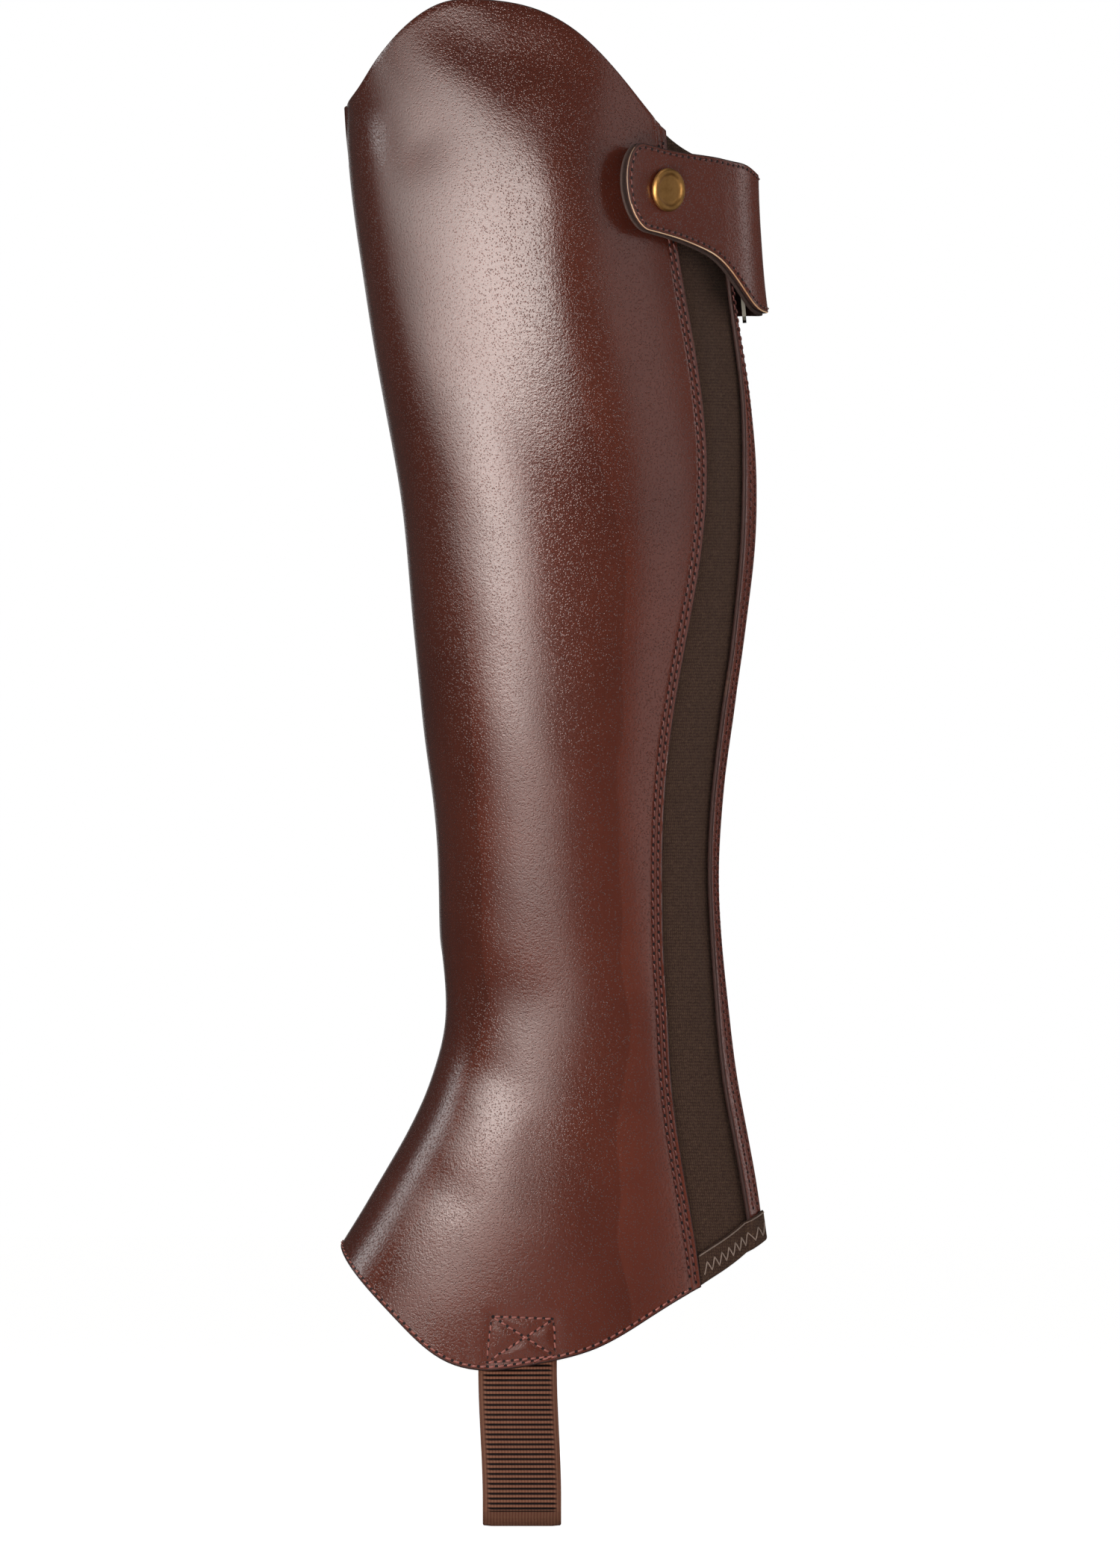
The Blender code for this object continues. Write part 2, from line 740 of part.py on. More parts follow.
def snap_tab():
    """The tab's leather and its backing, with the hole for the snap's post"""
    layers = (
        tab_layer("tab_outer", BROWN, 0.0, TAB_THICK, LEATHER),
        tab_layer("tab_backing", LINING, BACKING_SHOWS, BACKING, BACKING),
    )
    matrix = snap_frame()
    for layer in layers:
        bpy.ops.mesh.primitive_cylinder_add(
            vertices=DRILL_STEPS, radius=TAB_HOLE * MM, depth=DRILL_LENGTH * MM
        )
        drill = bpy.context.object
        drill.name = "post hole in " + layer.name
        drill.matrix_world = matrix
        boolean(layer, drill, "DIFFERENCE")


def snap():
    """Cap with its post and socket, the stud that it closes on, and the stud's back"""
    cap = (
        (0, 1.7),
        (4.8, 1.7),
        (5.3, 2.2),
        (6.1, 2.3),
        (6.8, 1.9),
        (7.0, 1.2),
        (6.7, 0.4),
        (POST, 0.4),
        (POST, SOCKET_TOP),
        (SOCKET_HALF, SOCKET_TOP),
        (SOCKET_HALF, SOCKET_LOW),
        (KNOB + KNOB_ROOM, SOCKET_LOW),
        (KNOB + KNOB_ROOM, SOCKET_TOP - GAP),
        (0, SOCKET_TOP - GAP),
    )
    turned("snap_cap", BRASS, cap, snap_frame())
    stud_top = SOCKET_LOW - GAP
    stud = (
        (0, stud_top + KNOB_HEIGHT),
        (KNOB, stud_top + KNOB_HEIGHT),
        (KNOB, stud_top),
        (STUD_HALF, stud_top),
        (STUD_HALF, stud_top - STUD_THICK),
        (0, stud_top - STUD_THICK),
    )
    turned("snap_stud", BRASS, stud, snap_frame())
    behind = -LEATHER - GAP - ELASTIC - GAP
    back = (
        (0, behind),
        (STUD_HALF, behind),
        (STUD_HALF, behind - STUD_THICK),
        (0, behind - STUD_THICK),
    )
    turned("snap_back", BRASS, back, under_snap())


def wall_y(x, height, side, out):
    """How far out to a side the wall lies at a place seen from the side"""
    around_x, around_y, length = ring(height)
    half = RING_STEPS // 2
    part = slice(0, half + 1) if side < 0 else slice(half, None)
    xs, ds = around_x[part], length[part]
    if side < 0:
        xs, ds = xs[::-1], ds[::-1]
    return wall(float(np.interp(x, xs, ds)), height, out)[0][1]


def strap_path():
    """The strap's outer face seen from the front, from its outer end to its inner one"""
    under = -LEATHER - GAP
    path = []
    for side in (-1, 1):
        sewn = [
            (wall_y(STRAP_TOP_X, h, side, under), h)
            for h in np.arange(STRAP_SEWN_TOP, STRAP_LEAVES - 0.5, -1.0)
        ]
        foot = side * STRAP_FOOT_HALF
        corner = [
            (
                foot - side * STRAP_CORNER * (1 - cos(radians(a))),
                STRAP_BOTTOM + STRAP_CORNER * (1 - sin(radians(a))),
            )
            for a in range(0, 91, STRAP_CORNER_STEP)
        ]
        half = sewn + corner
        path += half if side < 0 else half[::-1]
    return np.array(path)


def stirrup_strap():
    """Ribbed elastic from behind the panel's outer edge, under the boot, to its inner edge"""
    path = strap_path()
    length = np.concatenate(([0], np.cumsum(np.hypot(*np.diff(path, axis=0).T))))
    steps = 2 * int(round(length[-1] / RIB_PITCH))
    places = np.linspace(0, length[-1], steps + 1)
    ys, zs = np.interp(places, length, path[:, 0]), np.interp(places, length, path[:, 1])
    out_y, out_z = -np.gradient(zs), np.gradient(ys)
    size = np.hypot(out_y, out_z)
    out_y, out_z = -out_y / size, -out_z / size
    across = (-STRAP_HALF, 0.0, STRAP_HALF)
    bows = {
        side: [
            wall_y(STRAP_TOP_X + x, STRAP_BOW_AT, side, 0)
            - wall_y(STRAP_TOP_X, STRAP_BOW_AT, side, 0)
            for x in across
        ]
        for side in (-1, 1)
    }
    loops = []
    for i, (y, z) in enumerate(zip(ys, zs)):
        side = -1 if y < 0 else 1
        free = smooth(STRAP_LEAVES, STRAP_BOTTOM + STRAP_CORNER, z)
        middle = STRAP_TOP_X + (STRAP_BOTTOM_X - STRAP_TOP_X) * free
        bow = [(1 - free) * b for b in bows[side]]
        rise = RIB_RISE if i % 2 and z < RIBS_FROM else 0.0
        outer = [
            np.array((middle + x, y + b + out_y[i] * (rise - RIB_RISE), z + out_z[i] * (rise - RIB_RISE)))
            for x, b in zip(across, bow)
        ]
        inner = [
            np.array((middle + x, y + b - out_y[i] * STRAP_THICK, z - out_z[i] * STRAP_THICK))
            for x, b in zip(across, bow)
        ]
        loops.append(outer + inner[::-1])
    loft("stirrup_strap", STRAP_BROWN, loops)


for old in list(bpy.data.objects):
    bpy.data.objects.remove(old)

PARTS = bpy.data.collections.new("Half chap")
CUTTERS = bpy.data.collections.new("Half chap cutters")
for group in (PARTS, CUTTERS):
    bpy.context.scene.collection.children.link(group)

BROWN = finish("Brown leather", (0.095, 0.030, 0.022), 0.35)
LINING = finish("Tab backing", (0.030, 0.016, 0.012), 0.8)
ELASTIC_BROWN = finish("Dark brown elastic", (0.043, 0.023, 0.014), 0.9)
STRAP_BROWN = finish("Ribbed strap elastic", (0.105, 0.045, 0.027), 0.85)
ZIP_TAPE = finish("Zip tape", (0.045, 0.023, 0.016), 0.9)
ZIP_TEETH = finish("Zip coil", (0.050, 0.025, 0.018), 0.45)
BRASS = finish("Antique brass", (0.34, 0.21, 0.06), 0.35, 1.0)
NICKEL = finish("Nickel plate", (0.55, 0.54, 0.52), 0.3, 1.0)

leather_panel()
elastic_gore()
gore_hem()
zip_stay()
zip_tapes_and_chain()
zip_slider()
zip_pull()
snap_tab()
snap()
stirrup_strap()
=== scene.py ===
# %% [markdown]
# # A leather half chap
# A half chap is a rider's gaiter: one big piece of smooth leather round the calf, a strip of elastic
# at the back that lets it stretch, a zip, a snap tab over the zip's top, and a strap of ribbed
# elastic under the boot. This one is for the left leg, and it keeps the shape it has on a leg.
#
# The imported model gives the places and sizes. Here every cloth solid gets a thinner, finer piece in
# the same place, and every surface gets a material made from the real one.

import bpy
import numpy as np
from math import cos, pi, radians, sin, tan
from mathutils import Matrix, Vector


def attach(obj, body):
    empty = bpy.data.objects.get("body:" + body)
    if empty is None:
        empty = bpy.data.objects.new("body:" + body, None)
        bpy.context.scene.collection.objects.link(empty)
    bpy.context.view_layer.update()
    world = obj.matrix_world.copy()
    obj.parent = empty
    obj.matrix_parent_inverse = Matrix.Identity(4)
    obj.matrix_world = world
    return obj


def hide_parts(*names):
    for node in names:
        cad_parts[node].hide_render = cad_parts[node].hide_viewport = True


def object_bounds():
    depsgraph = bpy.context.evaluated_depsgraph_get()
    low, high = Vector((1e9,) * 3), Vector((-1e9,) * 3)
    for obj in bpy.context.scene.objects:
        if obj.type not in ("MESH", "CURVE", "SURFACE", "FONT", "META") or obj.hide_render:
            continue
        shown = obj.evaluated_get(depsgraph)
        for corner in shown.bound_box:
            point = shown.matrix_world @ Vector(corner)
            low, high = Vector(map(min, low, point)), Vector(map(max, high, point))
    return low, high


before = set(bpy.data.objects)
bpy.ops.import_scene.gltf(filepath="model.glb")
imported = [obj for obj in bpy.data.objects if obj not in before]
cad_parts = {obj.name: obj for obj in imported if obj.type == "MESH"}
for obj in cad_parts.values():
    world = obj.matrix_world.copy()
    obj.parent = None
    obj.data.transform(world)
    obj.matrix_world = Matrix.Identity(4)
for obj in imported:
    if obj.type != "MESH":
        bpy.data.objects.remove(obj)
CAD_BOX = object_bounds()
print("nodes:", sorted(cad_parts))

# %% [markdown]
# ## Two small tools for materials
# Paint charts give colours as sRGB hex values, and Blender's shaders want linear ones, so one
# function turns one into the other. The other adds a node, sets it up and links it, so that each
# material below reads as a list of what it is made of.

# %% Colours and nodes
MM = 0.001


def linear(hex_colour):
    """A linear colour with alpha from an sRGB hex value"""
    parts = [int(hex_colour[i : i + 2], 16) / 255 for i in (1, 3, 5)]
    return [p / 12.92 if p <= 0.04045 else ((p + 0.055) / 1.055) ** 2.4 for p in parts] + [1.0]


def node(tree, kind, settings=None, links=None):
    """Add a node, set its properties and sockets, and link outputs into its sockets"""
    made = tree.nodes.new(kind)
    for name, value in (settings or {}).items():
        if isinstance(name, int) or name in made.inputs:
            made.inputs[name].default_value = value
        else:
            setattr(made, name, value)
    for name, source in (links or {}).items():
        tree.links.new(source, made.inputs[name])
    return made


def per_metre(size_mm):
    """A texture's scale when one of its grains is this many millimetres"""
    return 1 / (size_mm * MM)


def finish(name, colour, roughness, **sockets):
    """A new material with its constant values on the shader's own sockets"""
    made = bpy.data.materials.new(name)
    made.use_nodes = True
    shader = made.node_tree.nodes["Principled BSDF"]
    shader.inputs["Base Color"].default_value = linear(colour)
    shader.inputs["Roughness"].default_value = roughness
    for socket, value in sockets.items():
        shader.inputs[socket.replace("_", " ")].default_value = value
    print("material:", name)
    return made, made.node_tree, shader


# %% [markdown]
# ## Camera
# The photograph is taken square on to the outer side of the leg with a long lens, so near and far
# parts keep the same size. A camera without perspective would do that too; a 1000 mm lens 14 m away
# does nearly the same and stays a real lens. It frames 504 mm from top to bottom. The Standard view
# transform shows a colour as its hex value says.

# %% Camera
CAMERA_AWAY, SENSOR_WIDTH = 14.0, 36
camera_data = bpy.data.cameras.new("Camera")
camera_data.lens = 1000
camera_data.sensor_width = SENSOR_WIDTH
camera = bpy.data.objects.new("Camera", camera_data)
camera.location = (-0.0024, -CAMERA_AWAY, -0.108)
camera.rotation_euler = (radians(90), 0, 0)
bpy.context.scene.collection.objects.link(camera)
bpy.context.scene.camera = camera
bpy.context.scene.view_settings.view_transform = "Standard"
print("camera frames", round(SENSOR_WIDTH / camera_data.lens * CAMERA_AWAY * 1000), "mm")

# %% [markdown]
# ## Studio
# Waxed leather shows its shape by what it mirrors: a wide lit cloth at the front left, a small strip
# far to the left that draws a line down the shin, and a dim wall and a rim strip on the right that
# grey the back half. The same lamps could light the leather's colour too. Here two fills do that, and
# are left out of reflections, so that the mirrored shapes can be placed by themselves. A light's
# direction is in degrees, round the leg from the camera and up from level, and its size is the angle
# that it fills, seen from the calf.

# %% Lights
AIM = Vector((0, 0, 0.03))


def softbox(name, azimuth, elevation, distance, wide, high, radiance):
    """A rectangular light in a direction from the calf, with its size as angles seen from there"""
    data = bpy.data.lights.new(name, "AREA")
    data.shape = "RECTANGLE"
    data.size = 2 * distance * tan(radians(wide / 2))
    data.size_y = 2 * distance * tan(radians(high / 2))
    data.energy = radiance * pi * data.size * data.size_y
    made = bpy.data.objects.new(name, data)
    turn, level = radians(azimuth), cos(radians(elevation))
    away = Vector((sin(turn) * level, -cos(turn) * level, sin(radians(elevation))))
    made.location = AIM + away * distance
    made.rotation_euler = away.to_track_quat("Z", "Y").to_euler()
    made.visible_camera = False
    bpy.context.scene.collection.objects.link(made)
    return made


# name, azimuth, elevation, metres away, degrees wide, degrees high, brightness
MIRRORED = (
    ("Left strip", -105, 15, 1.5, 18, 14, 3.6),
    ("Right wall", 66, 0, 1.5, 28, 64, 0.65),
    ("Backdrop glow", 180, -2, 1.6, 26, 30, 0.5),
    ("Right rim strip", 114, 4, 1.5, 12, 50, 1.3),
    ("Top light", 0, 88, 1.5, 40, 40, 1.0),
)
FILLS = (
    ("Front fill", -20, -38, 0.9, 60, 46, 6.5),
    ("Right fill", 105, -6, 1.5, 50, 60, 2.4),
)
for settings in MIRRORED:
    softbox(*settings)
for settings in FILLS:
    softbox(*settings).visible_glossy = False
print("lights:", [light.name for light in bpy.data.lights])

# %% [markdown]
# The lit cloth is a scrim that hangs close to the leather, bent round its front left. A flat soft
# box can't mirror as a highlight whose edges lean and bend, so the scrim is a curved sheet with its
# own brightness at each point. It is brightest from the ankle to the calf, fades to the left, the top
# and the foot, and its right edge leans from the ankle out to the calf.

# %% Brightness of the scrim
# height of a level in mm, then in degrees round the leg: where the glow starts on the left, reaches
# its peak, leaves it again and ends on the right; then the peak
SCRIM_GLOW = np.array(
    (
        (-230, -76, -30, -8, 14, 3.2),
        (-180, -70, -36, -30, 6, 3.3),
        (-146, -64, -38, -34, 2, 4.4),
        (-122, -66, -38, -34, 0, 8.2),
        (-104, -70, -50, -36, -8, 9.2),
        (-88, -78, -52, -44, -10, 9.6),
        (-74, -85, -50, -46, -13, 10.6),
        (-60, -92, -44, -42, -14, 12.0),
        (-45, -98, -44, -38, -12, 11.8),
        (-28, -104, -34, -30, -2, 11.4),
        (-10, -106, -24, -20, 5, 11.4),
        (10, -108, -22, -9, 10, 11.6),
        (28, -110, -20, 0, 15, 11.6),
        (47, -112, -20, 8, 21, 11.6),
        (67, -113, -20, 15, 24, 11.2),
        (93, -112, -18, 18, 27, 9.8),
        (122, -108, -18, 16, 26, 8.4),
        (150, -98, -22, 8, 25, 7.4),
        (175, -95, -22, -8, 24, 6.8),
        (205, -100, -42, -25, 10, 5.0),
        (235, -108, -40, -30, 4, 2.4),
        (262, -108, -40, -30, 0, 0.0),
    )
)


def ease(start, end, at):
    """0 at the start and before it, 1 at the end and after it, smooth between them"""
    t = np.clip((at - start) / (end - start), 0, 1)
    return t * t * (3 - 2 * t)


def scrim_glow(height, turn):
    """The scrim's brightness at heights in millimetres and turns in degrees"""
    rows = SCRIM_GLOW[:, 0]
    left, full, leaves, right, peak = (np.interp(height, rows, c) for c in SCRIM_GLOW.T[1:])
    rises = np.clip((turn - left) / (full - left), 0, 1) ** 1.2
    return peak * rises * (1 - ease(leaves, right, turn))


# %% [markdown]
# The sheet is a part of a cylinder round the leg, written as a grid of points that each keep their
# brightness. A painted picture on a few faces would do too, but this needs no picture.

# %% Curved scrim
SCRIM_RADIUS = 0.35
turns = np.radians(np.linspace(-116, 34, 151))
levels = np.linspace(-0.23, 0.262, 102)
spin, level = (a.ravel() for a in np.meshgrid(turns, levels, indexing="ij"))
index = np.arange(len(spin)).reshape(len(turns), len(levels))
quads = np.stack((index[:-1, :-1], index[1:, :-1], index[1:, 1:], index[:-1, 1:]), -1).reshape(-1, 4)
points = np.stack((SCRIM_RADIUS * np.sin(spin), -SCRIM_RADIUS * np.cos(spin), level), -1)
scrim_mesh = bpy.data.meshes.new("scrim")
scrim_mesh.from_pydata(points.tolist(), [], quads.tolist())
glow = scrim_mesh.attributes.new("glow", "FLOAT", "POINT")
glow.data.foreach_set("value", scrim_glow(level / MM, np.degrees(spin)).astype(np.float32))
print("scrim of", len(quads), "faces")

# %% [markdown]
# Only reflections see the scrim. Its glow is added to what lies behind it, so the lamps beyond it
# are mirrored through it.

# %% Scrim cloth
scrim_cloth = bpy.data.materials.new("Glowing scrim cloth")
scrim_cloth.use_nodes = True
tree = scrim_cloth.node_tree
tree.nodes.clear()
bright = node(tree, "ShaderNodeAttribute", {"attribute_name": "glow"})
lit = node(tree, "ShaderNodeEmission", {"Color": linear("#fffaf5")}, {"Strength": bright.outputs["Fac"]})
clear = node(tree, "ShaderNodeBsdfTransparent")
added = node(tree, "ShaderNodeAddShader", links={0: lit.outputs[0], 1: clear.outputs[0]})
node(tree, "ShaderNodeOutputMaterial", links={"Surface": added.outputs[0]})
scrim_mesh.materials.append(scrim_cloth)
scrim = bpy.data.objects.new("scrim", scrim_mesh)
bpy.context.scene.collection.objects.link(scrim)
scrim.visible_camera = False
scrim.visible_shadow = False
scrim.visible_diffuse = False

# %% [markdown]
# The room is white where the camera sees it and dim as a light, so that the leather keeps its depth
# in front of a white background.

# %% Room
world = bpy.data.worlds.new("Studio")
bpy.context.scene.world = world
world.use_nodes = True
room = world.node_tree
room.nodes.clear()
seen = node(room, "ShaderNodeBackground", {"Color": linear("#ffffff"), "Strength": 1.0})
dim = node(room, "ShaderNodeBackground", {"Color": linear("#f4f2ef"), "Strength": 0.06})
path = node(room, "ShaderNodeLightPath")
mixed = node(
    room,
    "ShaderNodeMixShader",
    links={0: path.outputs["Is Camera Ray"], 1: dim.outputs[0], 2: seen.outputs[0]},
)
node(room, "ShaderNodeOutputWorld", links={"Surface": mixed.outputs[0]})

# %% [markdown]
# The floor is white paper. It glows a little, as paper that is lit from below does, and so stays
# white round the object, but it neither lights the object nor is mirrored in it.

# %% Floor
FLOOR_HEIGHT, FLOOR_CLEARANCE = CAD_BOX[0][2], 0.0004
floor_paper, tree, shader = finish("White paper floor", "#f2f1ee", 0.9)
shader.inputs["Emission Color"].default_value = linear("#ffffff")
shader.inputs["Emission Strength"].default_value = 0.95
bpy.ops.mesh.primitive_circle_add(
    vertices=96, radius=9, fill_type="NGON", location=(0, 0, FLOOR_HEIGHT - FLOOR_CLEARANCE)
)
floor = bpy.context.object
floor.name = "floor"
floor.data.materials.append(floor_paper)
floor.visible_diffuse = False
floor.visible_glossy = False
print("floor at", round(FLOOR_HEIGHT * 1000, 1), "mm")

# %% [markdown]
# ## The shape of the wall
# Leather on a leg is a tube that changes its section all the way up: pointed at the shin, wide at
# the calf, narrow at the ankle and flared over the boot. It could be sculpted. A table of sections
# is used instead, because each piece of the half chap then lies on the same surface, at its own
# depth, and a seam can be placed in millimetres along the wall.

# %% Sections of the wall
# thicknesses of the materials, and the gap between pieces that are sewn together
LEATHER, ELASTIC, TAPE, BACKING, GAP = 1.6, 1.4, 1.0, 1.2, 0.3
SECTION_COLUMNS = "height front back outer inner forward shin_point heel_point seam stay".split()
SECTIONS = np.array(
    (
        (150, -71.6, 51.5, 44.0, 43.0, 12, 1.00, 1.25, 37.1, 8.0),
        (120, -72.0, 51.8, 51.0, 50.0, 12, 1.00, 1.38, 37.1, 8.0),
        (95, -70.8, 52.5, 54.5, 54.0, 12, 1.00, 1.44, 36.8, 8.0),
        (55, -65.6, 54.5, 56.0, 56.0, 12, 1.00, 1.42, 34.2, 8.0),
        (20, -60.1, 59.3, 56.0, 56.0, 10, 1.00, 1.32, 34.5, 10.4),
        (-15, -53.8, 61.8, 54.5, 55.0, 8, 1.00, 1.26, 36.5, 15.4),
        (-55, -49.7, 58.5, 51.0, 52.0, 7, 1.00, 1.24, 39.0, 14.2),
        (-95, -45.6, 53.1, 47.0, 47.5, 6, 1.00, 1.22, 39.9, 13.6),
        (-130, -41.9, 49.6, 42.5, 43.0, 5, 1.00, 1.18, 37.3, 12.7),
        (-165, -40.4, 51.0, 39.0, 39.0, 4, 1.00, 1.16, 36.8, 12.6),
        (-182, -39.2, 53.0, 38.2, 38.2, 4, 1.00, 1.15, 37.4, 13.8),
        (-208, -45.9, 56.6, 38.5, 38.5, 5, 1.08, 1.15, 38.3, 14.5),
        (-232, -58.4, 61.1, 40.5, 40.5, 7, 1.15, 1.16, 38.6, 13.8),
        (-256, -72.7, 64.6, 42.0, 42.0, 8, 1.20, 1.15, 37.4, 13.2),
        (-300, -98.0, 70.0, 43.0, 43.0, 8, 1.25, 1.15, 36.6, 13.0),
    )
)
# lines of the cutting pattern, in millimetres round from the outer seam: behind the zip, the zip,
# the stay's rear and front edges, the seam, the panel's far edge and the zip once more
PATTERN_LINES = np.array((-47.0, -42, -37, -30, 0, 320, 325))
STAY_REAR, TAPE_EDGE, STAY_FRONT, LIP = -37, -33.5, -30, 9
ZIP_HALF_GAP = 5


def spline(places, values, at):
    """Values on a smooth curve through a table's rows"""
    order = np.argsort(places)
    x, y = np.asarray(places, float)[order], np.asarray(values, float)[order]
    count, step = len(x), np.diff(x)
    system, right = np.eye(count), np.zeros(count)
    for i in range(1, count - 1):
        system[i, i - 1 : i + 2] = step[i - 1], 2 * (step[i - 1] + step[i]), step[i]
        right[i] = 6 * ((y[i + 1] - y[i]) / step[i] - (y[i] - y[i - 1]) / step[i - 1])
    bend = np.linalg.solve(system, right)
    i = np.clip(np.searchsorted(x, at) - 1, 0, count - 2)
    a, b = (x[i + 1] - at) / step[i], (at - x[i]) / step[i]
    curve = (a**3 - a) * bend[i] + (b**3 - b) * bend[i + 1]
    return a * y[i] + b * y[i + 1] + curve * step[i] ** 2 / 6


def section(name, height):
    """One column of the sections, read at any heights"""
    return spline(SECTIONS[:, 0], SECTIONS[:, SECTION_COLUMNS.index(name)], height)


# %% [markdown]
# A place on the wall is given as a maker would measure it: millimetres round from the zip, and
# height. To solve a section for that length at every point would be slow, so the outlines are worked
# out once, every half millimetre up and in even steps along each, and all places are read from them.

# %% The wall as a fine grid
HEIGHT_STEP = 0.5
HEIGHTS = np.arange(-300, 150.01, HEIGHT_STEP)
TURNS = np.linspace(0, 2 * pi, 721)
SHARES = np.linspace(0, 1, 721)


def rings():
    """Outlines at all heights, in even steps along each, with their lengths"""
    value = {name: section(name, HEIGHTS)[:, None] for name in SECTION_COLUMNS[1:8]}
    reach, swell = np.cos(TURNS)[None], np.abs(np.sin(TURNS))[None]
    front, back = value["front"], value["back"]
    x = (back + front) / 2 + (back - front) / 2 * reach - value["forward"] * swell**2
    point = value["shin_point"] * (1 - reach) / 2 + value["heel_point"] * (1 + reach) / 2
    y = np.where(TURNS[None] < pi, -value["outer"], value["inner"]) * swell**point
    steps = np.hypot(np.diff(x, axis=1), np.diff(y, axis=1))
    length = np.concatenate((np.zeros((len(x), 1)), np.cumsum(steps, axis=1)), axis=1)
    even = [[np.interp(SHARES * s[-1], s, v) for s, v in zip(length, grid)] for grid in (x, y)]
    return np.array(even[0]), np.array(even[1]), length[:, -1]


RING_X, RING_Y, GIRTH = rings()
print("girth at the calf", round(GIRTH[HEIGHTS == 20][0]), "mm")


def outline(distance, height):
    """Points of the wall's outer face before creasing, by the distance from the zip along it"""
    row = (height - HEIGHTS[0]) / HEIGHT_STEP
    i = np.clip(row.astype(int), 0, len(HEIGHTS) - 2)
    v = row - i
    around = GIRTH[i] * (1 - v) + GIRTH[i + 1] * v
    col = (distance / around) % 1 * (len(SHARES) - 1)
    j = np.clip(col.astype(int), 0, len(SHARES) - 2)
    u = col - j

    def blend(grid):
        low = grid[i, j] * (1 - u) + grid[i, j + 1] * u
        high = grid[i + 1, j] * (1 - u) + grid[i + 1, j + 1] * u
        return low * (1 - v) + high * v

    return np.stack((blend(RING_X), blend(RING_Y), height + 0 * u), axis=-1)


# %% [markdown]
# ## Creases
# Leather on a moving ankle keeps soft dents across the instep and small ridges between them. A cloth
# simulation would fold the leather at places of its own, so these are placed one by one, as seen
# from the side: where each starts and ends, how wide it is and how far it stands out. Very low, wide
# waves over the whole wall keep the highlight from being ruled. The strap's ends are sewn on with a
# box and a cross, and the thread pulls the leather in along those rows.

# %% Creases and waves
# side, x and height of both ends, width and rise
CREASES = (
    ("outer", -22, -201, -9, -215, 9.0, -0.42),
    ("outer", -14, -229, -11, -238, 9.0, -0.25),
    ("outer", -41, -166, -14, -178, 10.0, -0.5),
    ("outer", -44, -236, -36, -240, 9.0, -0.5),
    ("outer", -36, -203, -20, -221, 9.0, 0.25),
    ("outer", -18, -222, 2, -223, 8.0, 0.2),
    ("outer", -64, 110, -50, 98, 10.0, -1.5),
    ("outer", -36, 133, -14, 122, 9.0, -0.7),
    ("outer", -10, 128, 2, 119, 7.0, -0.5),
    ("inner", -24, -196, -6, -210, 7.0, -1.1),
    ("inner", -40, -170, -18, -182, 8.0, -1.1),
    ("inner", -32, -214, -8, -224, 8.0, 0.5),
    ("inner", -12, -233, 2, -240, 6.0, -0.9),
    ("inner", -60, 84, -42, 72, 10.0, -1.1),
    ("inner", -20, 86, 2, 80, 9.0, -0.9),
)
# The strap's ends are sewn on with a box and a cross, whose corners are given as seen from the side
CROSS_BOXES = {
    "outer": ((-24.2, -278.6), (-4.3, -279.4), (-3.8, -291.4), (-26.0, -293.4)),
    "inner": ((-24.6, -277.5), (-4.6, -277.9), (-4.2, -289.4), (-25.4, -290.6)),
}


def box_lines(side):
    """The four sides and two diagonals of a cross box"""
    a, b, c, d = CROSS_BOXES[side]
    return ((a, b), (b, c), (c, d), (d, a), (a, c), (b, d))


# how wide and how deep the leather is pulled in along those lines
SEWN_WIDTH, SEWN_PULL = 1.6, 0.5
# direction and phase of each low wave: millimetres in x, y and z for one turn, then the height
WAVES = (
    (61, 90, 47, 0.3, 0.045),
    (-43, 70, 83, 1.9, 0.04),
    (35, -55, 31, 4.1, 0.022),
    (-90, 48, -38, 2.7, 0.03),
    (140, -120, 110, 0.9, 0.10),
)


def beside_line(points, side, start, end, width):
    """1 on a line that is seen from one side, fading to 0 over its width"""
    start, run = np.array(start), np.array(end) - start
    away = points[..., [0, 2]] - start
    share = np.clip(away @ run / (run @ run), 0, 1)
    gap = np.linalg.norm(away - share[..., None] * run, axis=-1) / width
    return np.where((points[..., 1] < 0) == (side == "outer"), np.exp(-gap * gap), 0)


def relief(points):
    """How far creases, sewn lines and waves move points of the wall out"""
    total = np.zeros(points.shape[:-1])
    for side, x, z, end_x, end_z, width, rise in CREASES:
        total += rise * beside_line(points, side, (x, z), (end_x, end_z), width)
    sewn = [
        beside_line(points, side, start, end, SEWN_WIDTH)
        for side in CROSS_BOXES
        for start, end in box_lines(side)
    ]
    total -= SEWN_PULL * np.max(sewn, axis=0)
    for x, y, z, phase, rise in WAVES:
        turn = points @ np.array((1 / x, 1 / y, 1 / z)) * 2 * pi
        total += rise * np.sin(turn + phase)
    return total


# %% [markdown]
# Every piece is placed by two functions. One gives points at a depth under or over the leather's
# face, with the directions that point out of it, so that pieces can lie on each other. The other
# turns a line of the cutting pattern, such as the seam, into its distance from the zip at a height.

# %% Places on the wall
def unit(vectors):
    """Vectors of length 1 in the same directions"""
    return vectors / np.linalg.norm(vectors, axis=-1, keepdims=True)


def wall(distance, height, out=0.0):
    """Points of the wall moved out along its normals, and the normals"""
    distance, height, out = (a.astype(float) for a in np.broadcast_arrays(distance, height, out))
    point = outline(distance, height)
    along = outline(distance + 1, height) - outline(distance - 1, height)
    rise = outline(distance, height + 1) - outline(distance, height - 1)
    normal = unit(np.cross(rise, along))
    return point + normal * (out + relief(point))[..., None], normal


def girth(height):
    """How far it is round the wall at any heights"""
    return np.interp(height, HEIGHTS, GIRTH)


